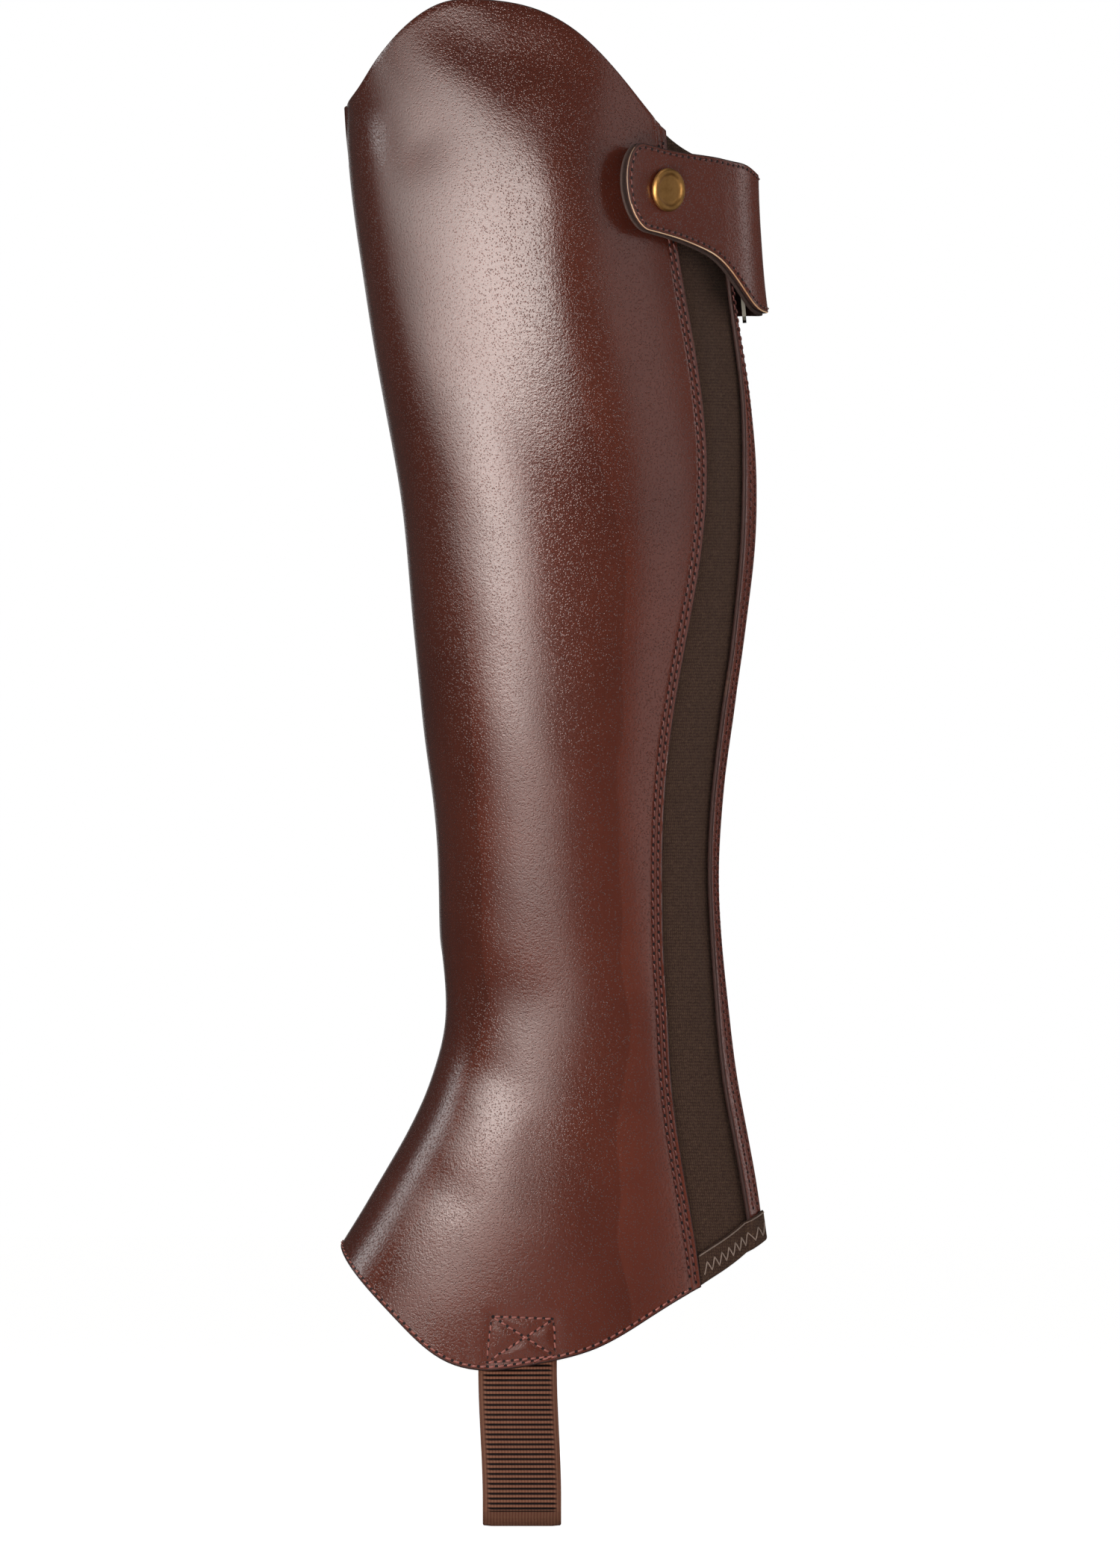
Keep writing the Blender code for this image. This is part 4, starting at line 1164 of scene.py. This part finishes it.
# %% Folded hem
HEM_HEIGHT, HEM_CLOTH = 10.0, 1.0
HEM_STATIONS = np.concatenate(([-37, -36.9, -36.6, -36], np.linspace(-35, -1, 46), [-0.6]))


def hem_near(station):
    """The depth of the inside of the hem's outer lip, over the stay and then on the gore"""
    over_stay = 1 - ease(STAY_FRONT, STAY_FRONT + 3.0, station)
    return -LEATHER + over_stay * LEATHER + GAP - (1 - over_stay) * GAP


def hem_section(station):
    """Heights over the edge and depths round the folded hem, outside and then inside"""
    near, far = hem_near(station), -LEATHER - 2 * GAP - ELASTIC
    pinch = 0.9 * max(0, 1 - (station - STAY_REAR)) ** 2
    front, back = near + HEM_CLOTH - pinch, far - HEM_CLOTH + pinch
    middle, half = (front + back) / 2, (front - back) / 2
    arc = np.radians(np.linspace(0, 180, 11))
    profile = [(HEM_HEIGHT, front), (HEM_HEIGHT - 0.3, front + 0.05), (5.0, front)]
    profile += [(FOLD_HANGS + 1.2, front)]
    profile += [(FOLD_HANGS - FOLD_HANGS * sin(a), middle + half * cos(a)) for a in arc]
    profile += [(FOLD_HANGS + 1.2, back), (5.0, back), (HEM_HEIGHT, back)]
    profile += [(HEM_HEIGHT, far), (5.0, far), (2.2, far), (1.2, (near + far) / 2)]
    profile += [(2.2, near), (5.0, near), (HEM_HEIGHT, near)]
    return np.array(profile)


hem_outlines, hem_cuts = [], []
for station in HEM_STATIONS:
    over, depth = hem_section(station).T
    heights = edge_height(BOTTOM_EDGE, station) + over
    distance = distance_at(station, heights)
    hem_outlines.append(wall(distance, heights, depth)[0])
    hem_cuts.append(np.stack((distance, heights, 0 * heights), -1))
hem = lofted("hem_elastic", hem_outlines, GORE_CLOTH, np.concatenate(hem_cuts))
dress(hem, "chap", "gore_elastic", "gore_hem")

# %% [markdown]
# The hem is sewn with a zigzag, which stretches with the elastic, and a thread runs along its top
# edge. Both are long cords here, which dip where the needle takes them down.

# %% Zigzag of the hem
ZIGZAG_PITCH, ZIGZAG_HIGH, ZIGZAG_LOW, CORD_RADIUS = 3.9, 6.4, 2.9, 0.22


def hem_front(station, over_edge, extra):
    """Places and normals on the hem's outer face"""
    heights = edge_height(BOTTOM_EDGE, station) + over_edge
    return wall(distance_at(station, heights), heights, hem_near(station) + HEM_CLOTH + extra)


def cord_on_hem(name, points, normals):
    """One long thread through points on the hem, with open ends"""
    side = np.cross(unit(np.gradient(points, axis=0)), normals)
    radius = np.full((1, len(points)), CORD_RADIUS)
    made_points, faces = tubes(points[None], side[None], normals[None], radius)
    made = mesh_object(name, made_points, [f for f in faces if len(f) == 4], [HEM_THREAD])
    return dress(made, "chap", "gore_elastic")


corners = np.arange(-35.6, -1.2, ZIGZAG_PITCH / 2)
count = len(corners)
corner_over = np.where(np.arange(count) % 2 == 0, ZIGZAG_HIGH, ZIGZAG_LOW)
share = np.linspace(0, count - 1, (count - 1) * 8 + 1)
zig_stations = np.interp(share, np.arange(count), corners)
zig_over = np.interp(share, np.arange(count), corner_over)
dip = 0.18 * np.abs(np.cos(pi * share)) ** 8
cord_on_hem("hem_zigzag", *hem_front(zig_stations, zig_over, 0.12 - dip))
top_stations = np.linspace(-36, -1.0, 160)
ripple = 0.1 * np.abs(np.sin(np.arange(160) * 0.55))
cord_on_hem("hem_top_thread", *hem_front(top_stations, 9.55, 0.05 + ripple))

# %% [markdown]
# ## Zip
# The zip is a nylon coil sewn on two woven tapes. The tapes are a close twill with 0.3 mm yarns, too
# fine for the render, so the twill is drawn 0.55 mm wide. Only the strips beside the coil show.

# %% Zip tapes
ZIP_CLOTH, tree, shader = finish("Woven zip tape", "#3a251c", 0.85, IOR=1.5, Sheen_Weight=0.2)
cut = node(tree, "ShaderNodeAttribute", {"attribute_name": "cut"}).outputs["Vector"]
twill = node(
    tree,
    "ShaderNodeTexWave",
    {"bands_direction": "DIAGONAL", "Scale": per_band(0.55), "Distortion": 0.5},
    {"Vector": cut},
)
taped = node(
    tree,
    "ShaderNodeMix",
    {"data_type": "RGBA", 6: linear("#2a1912"), 7: linear("#4d3427")},
    {0: twill.outputs["Fac"]},
)
tree.links.new(taped.outputs[2], shader.inputs["Base Color"])
twill_bump = node(
    tree, "ShaderNodeBump", {"Strength": 0.6, "Distance": 0.12 * MM}, {"Height": twill.outputs["Fac"]}
)
tree.links.new(twill_bump.outputs[0], shader.inputs["Normal"])

TAPE_LOW, TAPE_TOP = -250.5, 63.8
TAPES = {"outer": (3.4, 8.5), "inner": (-12.7, -3.4)}


def tape_point(side):
    """A grid maker for one of the two tapes"""
    first, last = TAPES[side]

    def point(inset, out):
        height = np.linspace(TAPE_LOW + inset, TAPE_TOP - inset, 150)[None]
        share = np.linspace(0, 1, 7)[:, None]
        distance = first + inset + share * (last - first - 2 * inset)
        if side == "outer":
            # it stays 3 mm clear of the stay's front edge
            distance = np.minimum(distance, section("stay", height) - 3 - inset)
        points, _ = wall(distance, height, out - LEATHER - GAP)
        return points, np.stack(np.broadcast_arrays(distance, height, 0 * height), -1)

    return point


for side in TAPES:
    tape = shell("tape_" + side, tape_point(side), TAPE, (ZIP_CLOTH, ZIP_CLOTH, ZIP_CLOTH))
    dress(tape, "chap", "zip_tape", "zip_tape_" + side)

# %% [markdown]
# The coil is one nylon thread on each tape, moulded and wound into loops that hook into each other
# down the middle. The back of a half chap shows little else, so each loop is built as a bent tube,
# by turns from the left and from the right. Nylon's IOR is 1.53; use has scuffed its gloss.

# %% Zip coil
ZIP_COIL, tree, shader = finish("Moulded nylon zip coil", "#33221b", 0.38, IOR=1.53)
place = node(tree, "ShaderNodeTexCoord").outputs["Object"]
scuffs = node(tree, "ShaderNodeTexNoise", {"Scale": per_metre(3), "Detail": 3.0}, {"Vector": place})
scuffed = node(
    tree, "ShaderNodeMapRange", {"To Min": 0.3, "To Max": 0.5}, {"Value": scuffs.outputs["Fac"]}
)
tree.links.new(scuffed.outputs[0], shader.inputs["Roughness"])

COIL_PITCH, COIL_DEPTH, COIL_THREAD, LOOP_HALF = 1.3, -2.4, 0.42, 0.75
CHAIN_LOW, CHAIN_TOP = -247.5, 55.4
coil_rows = np.arange(CHAIN_LOW + 0.6, CHAIN_TOP - 0.4, COIL_PITCH / 2)
bend = np.radians(np.linspace(-90, 90, 9))
loop_across = np.concatenate(([-3.0, -1.4], -0.4 + 0.9 * np.cos(bend), [-1.4, -3.0]))
loop_depth = LOOP_HALF * np.concatenate(([-1, -1], np.sin(bend), [1, 1]))
hand = np.where(np.arange(len(coil_rows)) % 2 == 0, 1.0, -1.0)
coil_height = coil_rows[:, None] + 0.12 * loop_depth[None]
coil_centres, _ = wall(loop_across[None] * hand[:, None], coil_height, COIL_DEPTH + loop_depth[None])
coil_step = unit(np.gradient(coil_centres, axis=1))
coil_side = np.broadcast_to((0.0, 0.0, 1.0), coil_step.shape)
coil_out = unit(np.cross(coil_step, coil_side))
coil_radius = np.full(coil_centres.shape[:2], COIL_THREAD)
coil_points, coil_faces = tubes(coil_centres, coil_side, coil_out, coil_radius)
coil = mesh_object("coil", coil_points, coil_faces, [ZIP_COIL])
dress(coil, "chap", "zip_coil", "zip_chain")
print("coil loops:", len(coil_rows))

# %% [markdown]
# ## Metal
# The slider, its pull and the bottom stop are cast in zinc and plated with nickel, a dull warm grey
# that mirrors softly. Its colour is darkened far below clean nickel as painted shade for the tab's
# shadow over the pull. Their solids have the right shape already, so they only get a better material.
# A metal keeps the default IOR.

# %% Nickel plate
def recoat(material, *nodes):
    """Give solids of the model a material in place of their own"""
    for name in nodes:
        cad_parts[name].data.materials.clear()
        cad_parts[name].data.materials.append(material)


NICKEL_WITH_PAINTED_SHADE, tree, shader = finish("Nickel-plated zinc darkened as painted shade", "#8f8c82", 0.4, Metallic=1.0)
place = node(tree, "ShaderNodeTexCoord").outputs["Object"]
rubbed = node(tree, "ShaderNodeTexNoise", {"Scale": per_metre(1.5), "Detail": 4.0}, {"Vector": place})
rub = node(
    tree, "ShaderNodeMapRange", {"To Min": 0.34, "To Max": 0.52}, {"Value": rubbed.outputs["Fac"]}
)
tree.links.new(rub.outputs[0], shader.inputs["Roughness"])
# painted shade: the plate's colour is kept dark, a little lighter in rubbed patches
tone = node(
    tree,
    "ShaderNodeMix",
    {"data_type": "RGBA", 6: linear("#383632"), 7: linear("#5c5952")},
    {0: rubbed.outputs["Fac"]},
)
tree.links.new(tone.outputs[2], shader.inputs["Base Color"])
recoat(NICKEL_WITH_PAINTED_SHADE, "zip_slider", "zip_pull", "zip_stop")

# %% [markdown]
# The snap is brass that was darkened and rubbed back: hollows stay brown and rims shine. Fine
# pitting, drawn 0.55 mm wide, keeps the pressed face from mirroring like glass.

# %% Antique brass
BRASS, tree, shader = finish("Antiqued brass", "#a98a4a", 0.34, Metallic=1.0)
place = node(tree, "ShaderNodeTexCoord").outputs["Object"]
patina = node(
    tree,
    "ShaderNodeTexNoise",
    {"Scale": per_metre(2.2), "Detail": 5.0, "Roughness": 0.6},
    {"Vector": place},
)
stipple = node(tree, "ShaderNodeTexVoronoi", {"Scale": per_metre(0.55)}, {"Vector": place})
aged = node(
    tree,
    "ShaderNodeMix",
    {"data_type": "RGBA", 6: linear("#80592f"), 7: linear("#c2945a")},
    {0: patina.outputs["Fac"]},
)
tree.links.new(aged.outputs[2], shader.inputs["Base Color"])
brass_rub = node(
    tree, "ShaderNodeMapRange", {"To Min": 0.36, "To Max": 0.55}, {"Value": patina.outputs["Fac"]}
)
tree.links.new(brass_rub.outputs[0], shader.inputs["Roughness"])
pitted = node(
    tree,
    "ShaderNodeBump",
    {"Strength": 0.25, "Distance": 0.05 * MM},
    {"Height": stipple.outputs["Distance"]},
)
tree.links.new(pitted.outputs[0], shader.inputs["Normal"])
recoat(BRASS, "snap_stud", "snap_back")

# %% [markdown]
# ## Snap tab
# The tab is sewn to the inner side, bends round the heel over the zip and closes on the outer side
# with a snap. It is two layers: leather on top, and a darker backing that peeps out along the tip.
# Both follow one table of edges and lifts off the wall, so that they stay parallel round the bend.

# %% Shape of the tab
# millimetres round from the zip, the low edge, the high edge, the lift off the wall
TAB_ROWS = np.array(
    (
        (-46, 44.0, 85.5, 0.3), (-34, 43.5, 85.5, 0.3), (-23, 43.0, 85.6, 0.4),
        (-14, 42.6, 85.8, 2.2), (-7, 42.4, 86.2, 4.4), (0, 42.2, 87.6, 5.6),
        (4, 42.6, 89.2, 5.6), (8.5, 44.3, 90.8, 5.4), (12.7, 48.5, 91.5, 5.1),
        (16.4, 53.2, 92.0, 4.7), (20.2, 57.3, 92.6, 4.4), (24.2, 60.4, 93.1, 4.1),
        (29.7, 62.9, 93.6, 3.9), (35.4, 64.8, 94.1, 3.8), (41.4, 66.5, 94.8, 3.9),
        (47.3, 67.8, 95.8, 4.3), (52.6, 68.8, 96.8, 5.0), (61, 69.6, 97.3, 6.3),
    )
)
TAB_LOW, TAB_HIGH, TAB_LIFT = 1, 2, 3
TAB_SEWN_END, TAB_ROUND_FROM, TAB_TIP = -46.0, 52.6, 60.2
TAB_THICK = LEATHER + GAP + BACKING


def tab_at(column, distance):
    """One column of the tab's table at any distances"""
    return spline(TAB_ROWS[:, 0], TAB_ROWS[:, column], distance)


def on_tab(distance, height):
    """Places and normals on the tab's outer face"""
    return wall(distance, height, tab_at(TAB_LIFT, distance) + TAB_THICK)


def tab_grid(grow, base):
    """A grid maker for one layer of the tab, grown at its edge and raised from the wall"""
    heel = 6
    coarse_then_fine = (np.arange(TAB_SEWN_END, -heel, 1.4), np.arange(-heel, heel, 0.35))
    dense = np.concatenate((*coarse_then_fine, np.arange(heel, TAB_ROUND_FROM, 1.4)))
    turns = np.radians(np.linspace(0, 86, 16))

    def point(inset, out):
        sewn = np.maximum(dense, TAB_SEWN_END + inset)
        length = TAB_TIP + grow - TAB_ROUND_FROM - inset
        distance = np.concatenate((sewn, TAB_ROUND_FROM + length * np.sin(turns)))
        keep = np.concatenate((np.ones(len(dense)), np.cos(turns)))
        low, high = tab_at(TAB_LOW, distance) - grow / 2, tab_at(TAB_HIGH, distance)
        middle, half = (low + high) / 2, ((high - low) / 2 - inset) * keep
        height = middle[:, None] + half[:, None] * np.linspace(-1, 1, 25)[None]
        wide = np.broadcast_to(distance[:, None], height.shape)
        points, _ = wall(wide, height, tab_at(TAB_LIFT, distance)[:, None] + base + out)
        return points, np.stack((wide, height, 0 * height), -1)

    return point


# %% [markdown]
# The backing is split leather, the rough lower layer of a hide, dyed nearly black. It is dull all
# over, with a short nap.

# %% Split leather
TAB_LINING, tree, shader = finish("Split leather lining of the tab", "#2a1a15", 0.8, IOR=1.48)
place = node(tree, "ShaderNodeTexCoord").outputs["Object"]
split = node(tree, "ShaderNodeTexNoise", {"Scale": per_metre(0.8), "Detail": 5.0}, {"Vector": place})
split_tone = node(
    tree,
    "ShaderNodeMix",
    {"data_type": "RGBA", 6: linear("#1d110d"), 7: linear("#412a22")},
    {0: split.outputs["Fac"]},
)
tree.links.new(split_tone.outputs[2], shader.inputs["Base Color"])
split_bump = node(
    tree, "ShaderNodeBump", {"Strength": 0.7, "Distance": 0.15 * MM}, {"Height": split.outputs["Fac"]}
)
tree.links.new(split_bump.outputs[0], shader.inputs["Normal"])

# %% [markdown]
# The top layer's cut edge is dyed, but along the bottom and at the tip it was left raw, a thin peach
# line. Of the seven bands of faces round the rim, the outer three get the raw finish there.

# %% Two layers of the tab
RAW = 3
tab_finishes = (WAXED_LEATHER, FLESH_SIDE, DYED_EDGE, RAW_EDGE)
tab = shell("tab_leather", tab_grid(0.0, TAB_THICK), LEATHER, tab_finishes, 0.3)
rim_faces = [face for face in tab.data.polygons if face.material_index == RIM]
for face in rim_faces[: len(rim_faces) * 3 // 7]:
    if face.normal.z < -0.2 or (face.normal.x < -0.4 and face.center.y < 0):
        face.material_index = RAW
dress(tab, "chap", "leather", "tab_outer")
lining = shell("tab_lining", tab_grid(1.2, BACKING), BACKING, (TAB_LINING, TAB_LINING, TAB_LINING))
dress(lining, "chap", "tab_backing", "tab_backing")

# %% [markdown]
# One row of stitches runs right round the tab, 1.4 mm inside its edge. Where the edge slopes, the
# row is moved in by more, measured up and down, so that it stays at that distance.

# %% Tab stitches
TAB_INSET, END_STEPS = 1.4, 58
tip_turn = np.radians(np.linspace(0, 89, 60))
tip = TAB_ROUND_FROM + (TAB_TIP - TAB_ROUND_FROM - TAB_INSET) * np.sin(tip_turn)
row_distance = np.concatenate((np.linspace(-44.6, TAB_ROUND_FROM, 300), tip))
keep = np.concatenate((np.ones(300), np.cos(tip_turn)))


def tab_row(column, sign):
    """Heights of the stitch row beside the tab's low or high edge, from the sewn end to the tip"""
    low, high = tab_at(TAB_LOW, row_distance), tab_at(TAB_HIGH, row_distance)
    # the tip starts where the straight part ends, so a little is added to keep the places apart
    places = row_distance + np.arange(len(row_distance)) * 1e-6
    slope = np.gradient(low if column == TAB_LOW else high, places)
    inset = TAB_INSET * np.hypot(1, slope)
    return (low + high) / 2 + sign * ((high - low) / 2 - inset) * keep


low_row, high_row = tab_row(TAB_LOW, -1), tab_row(TAB_HIGH, 1)
end_row = np.linspace(high_row[0], low_row[0], END_STEPS + 2)[1:-1]
around = np.concatenate((row_distance, row_distance[::-1], np.full(END_STEPS, row_distance[0])))
heights = np.concatenate((low_row, high_row[::-1], end_row))
stitches("tab_stitches", [on_tab(around, heights)], 2.7, RED_THREAD, radius=0.26, rise=0.2)

# %% [markdown]
# The snap's cap is a thin brass pressing with a rolled rim round a slightly dished face. A turned
# profile gives it, and the face stays plain. It sits square on the tab, which is curved there, so
# its axis is taken from two places beside it.

# %% Snap cap
SNAP_DISTANCE, SNAP_HEIGHT = 45.1, 82.0
# radius and height over the tab, from the dished face over the rim to the post through the tab
CAP_PROFILE = (
    (2.4, 1.60), (3.9, 1.58), (4.5, 1.62), (4.9, 1.82), (5.2, 2.08), (5.6, 2.26), (6.05, 2.3),
    (6.45, 2.18), (6.78, 1.88), (6.96, 1.5), (7.0, 1.15), (6.94, 0.75), (6.78, 0.5), (6.5, 0.4),
    (1.8, 0.4), (1.8, -3.6), (5.2, -3.6), (5.2, -5.4), (2.2, -5.4), (2.2, -3.9),
)
before, centre, after = (
    on_tab(np.array([SNAP_DISTANCE + d]), np.array([SNAP_HEIGHT]))[0][0] for d in (-2.0, 0.0, 2.0)
)
cap_normal = unit(np.cross((0, 0, 1), after - before))
cap_across = unit(np.cross((0, 0, 1), cap_normal))
cap_up = np.cross(cap_normal, cap_across)
turn = np.linspace(0, 2 * pi, 73)[:-1, None]
cap_circle = np.cos(turn) * cap_across + np.sin(turn) * cap_up
cap_outlines = [centre + cap_normal * h + r * cap_circle for r, h in CAP_PROFILE]
cap = lofted("cap_brass", cap_outlines, BRASS)
cap.data.set_sharp_from_angle(angle=radians(50))
dress(cap, "chap", "brass", "snap_cap")

# %% [markdown]
# ## Stirrup strap
# A ribbed elastic runs from behind the panel's outer edge, under the boot and up to the inner edge.
# Its ribs lie across it, 1.6 mm apart, with a smooth selvedge each side. Each rib is a row of yarn
# loops over a groove. The grooves get painted shade: the colour darkens towards the groove, by the
# height, which each point keeps as the third value of cut: 0 in a groove and 1 on a crest.

# %% Ribbed elastic
STRAP_CLOTH, tree, shader = finish(
    "Ribbed strap elastic", "#5a3626", 0.85, IOR=1.5, Specular_IOR_Level=0.25
)
cut = node(tree, "ShaderNodeAttribute", {"attribute_name": "cut"}).outputs["Vector"]
parts = node(tree, "ShaderNodeSeparateXYZ", links={0: cut})
crest = node(
    tree, "ShaderNodeMapRange", {"From Min": 0.55, "From Max": 0.92}, {"Value": parts.outputs["Z"]}
)
loops = node(
    tree,
    "ShaderNodeTexWave",
    {"bands_direction": "X", "Scale": per_band(1.0), "Distortion": 1.0, "Detail Scale": 1.5},
    {"Vector": cut},
)
yarn = node(
    tree,
    "ShaderNodeMix",
    {"data_type": "RGBA", 6: linear("#6a3e2d"), 7: linear("#7e533e")},
    {0: loops.outputs["Fac"]},
)
# painted shade: the yarn colour is darkened to near black in the grooves
ribs_with_painted_shade = node(
    tree,
    "ShaderNodeMix",
    {"data_type": "RGBA", 6: linear("#0f0706")},
    {0: crest.outputs[0], 7: yarn.outputs[2]},
)
tree.links.new(ribs_with_painted_shade.outputs[2], shader.inputs["Base Color"])
loop_bump = node(
    tree, "ShaderNodeBump", {"Strength": 0.3, "Distance": 0.15 * MM}, {"Height": loops.outputs["Fac"]}
)
tree.links.new(loop_bump.outputs[0], shader.inputs["Normal"])

# %% [markdown]
# The strap hangs in a U, with round corners where it turns under the sole. It starts along the
# wall, behind the panel, and its straight lines ease into rounder ones because an elastic doesn't
# kink.

# %% Path of the strap
STRAP_HALF, STRAP_THICK, STRAP_TOP_X, STRAP_BOTTOM_X = 12.6, 2.0, -16.0, -14.6
STRAP_SEWN_TOP, STRAP_LEAVES, STRAP_BOTTOM = -277.0, -296.0, -346.4
STRAP_CORNER, STRAP_FOOT_HALF = 8.0, 35.0
SIDES = {"outer": -1, "inner": 1}


def wall_y(x, height, side, out):
    """How far out to a side the wall lies at a place seen from the side"""
    place = seen_place(np.array([x]), np.array([height]), side)
    return float(wall(place, np.array([height]), out)[0][0, 1])


def half_path(side, sign):
    """The strap's outer face seen from the front, from one sewn end to where it lies level"""
    drop = np.arange(STRAP_SEWN_TOP, STRAP_LEAVES - 0.5, -1.0)
    turns = np.radians(np.arange(0, 91, 6))
    corner_y = sign * (STRAP_FOOT_HALF - STRAP_CORNER * (1 - np.cos(turns)))
    corner_z = STRAP_BOTTOM + STRAP_CORNER * (1 - np.sin(turns))
    sewn = [(wall_y(STRAP_TOP_X, h, side, -LEATHER - GAP), h) for h in drop]
    return sewn + list(zip(corner_y, corner_z))


corners_of = {side: half_path(side, sign) for side, sign in SIDES.items()}
path = np.array(corners_of["outer"] + corners_of["inner"][::-1])
length = np.concatenate(([0], np.cumsum(np.hypot(*np.diff(path, axis=0).T))))
places = np.linspace(0, length[-1], int(length[-1] / 0.2))
ys, zs = (np.interp(places, length, path[:, i]) for i in (0, 1))
smooth_y, smooth_z = (
    np.convolve(np.pad(a, 6, mode="edge"), np.ones(13) / 13, mode="valid") for a in (ys, zs)
)
out_y, out_z = unit(np.stack((np.gradient(smooth_z), -np.gradient(smooth_y)), -1)).T
print("strap", round(length[-1]), "mm long")

# %% [markdown]
# The ribs are real ridges, because they show on the outline of the strap. They fade out where the
# strap is hidden behind the panel, and are low under the sole. The edges are thin and round.

# %% Ribs and edges of the strap
RIB_PITCH, RIB_RISE, SELVEDGE = 1.6, 0.5, 1.3
RIBS_TOP, RIBS_BOTTOM, SOLE_RIBS = -290.5, -342.5, 0.35
across = np.concatenate(([-12.6, -12.5, -12.2], np.linspace(-11.4, 11.4, 15), [12.2, 12.5, 12.6]))
edge_drop = np.interp(np.abs(across), (12.1, 12.3, 12.5, 12.6), (0, 0.08, 0.3, 0.6))
rib_zone = np.clip((STRAP_HALF - SELVEDGE - np.abs(across)) / 0.4, 0, 1)
ribs_show = np.clip((zs - RIBS_BOTTOM) / 2.0, 0, 1) * np.clip((RIBS_TOP - zs) / 1.0, 0, 1)
ribs_show = ribs_show + SOLE_RIBS * np.clip((RIBS_BOTTOM - zs) / 2.0, 0, 1)
rib = np.abs(np.sin(pi * places / RIB_PITCH)) ** 0.8
rise = (rib * ribs_show)[:, None] * rib_zone[None]
print("ribs:", round(length[-1] / RIB_PITCH))

# %% [markdown]
# Behind the panel the strap is bowed like the wall, and it comes flat as it leaves it.

# %% Strap
BOW_HEIGHT = -290.0
# how high on the ribs' scale the selvedges and the plain parts sit, which sets their painted groove
# shade
SELVEDGE_TONE, PLAIN_TONE = 0.8, 0.76
free = ease(STRAP_LEAVES, STRAP_BOTTOM + STRAP_CORNER, zs)
bow = {}
for side in SIDES:
    flat = wall_y(STRAP_TOP_X, BOW_HEIGHT, side, 0)
    bow[side] = np.array([wall_y(STRAP_TOP_X + x, BOW_HEIGHT, side, 0) - flat for x in across])
on_outer = (smooth_y < 0)[:, None]
strap_bow = np.where(on_outer, bow["outer"][None], bow["inner"][None]) * (1 - free)[:, None]
middle = STRAP_TOP_X + (STRAP_BOTTOM_X - STRAP_TOP_X) * free
depth_out = -RIB_RISE + RIB_RISE * rise - edge_drop[None]
depth_in = np.full_like(depth_out, -STRAP_THICK) + edge_drop[None] * 0.8


def strap_face(depth):
    """One face of the strap at a depth behind its outer face"""
    x = middle[:, None] + across[None]
    y = ys[:, None] + strap_bow + out_y[:, None] * depth
    z = zs[:, None] + out_z[:, None] * depth
    return np.stack((x, y, z), -1)


strap_outlines = np.concatenate((strap_face(depth_out), strap_face(depth_in)[:, ::-1]), axis=1)
# the third value of cut sets the painted groove shade: ribs by height, selvedges and plain parts fixed
tone = np.where(rib_zone[None] > 0.5, rise, SELVEDGE_TONE)
tone = np.where(ribs_show[:, None] < 0.5, PLAIN_TONE, tone)
front_cut = np.broadcast_arrays(across[None], places[:, None], tone)
back_cut = np.broadcast_arrays(across[None, ::-1], places[:, None], np.full_like(tone, SELVEDGE_TONE))
strap_cut = np.concatenate((np.stack(front_cut, -1), np.stack(back_cut, -1)), axis=1).reshape(-1, 3)
strap = lofted("strap_elastic", strap_outlines, STRAP_CLOTH, strap_cut)
dress(strap, "chap", "strap_elastic", "stirrup_strap")
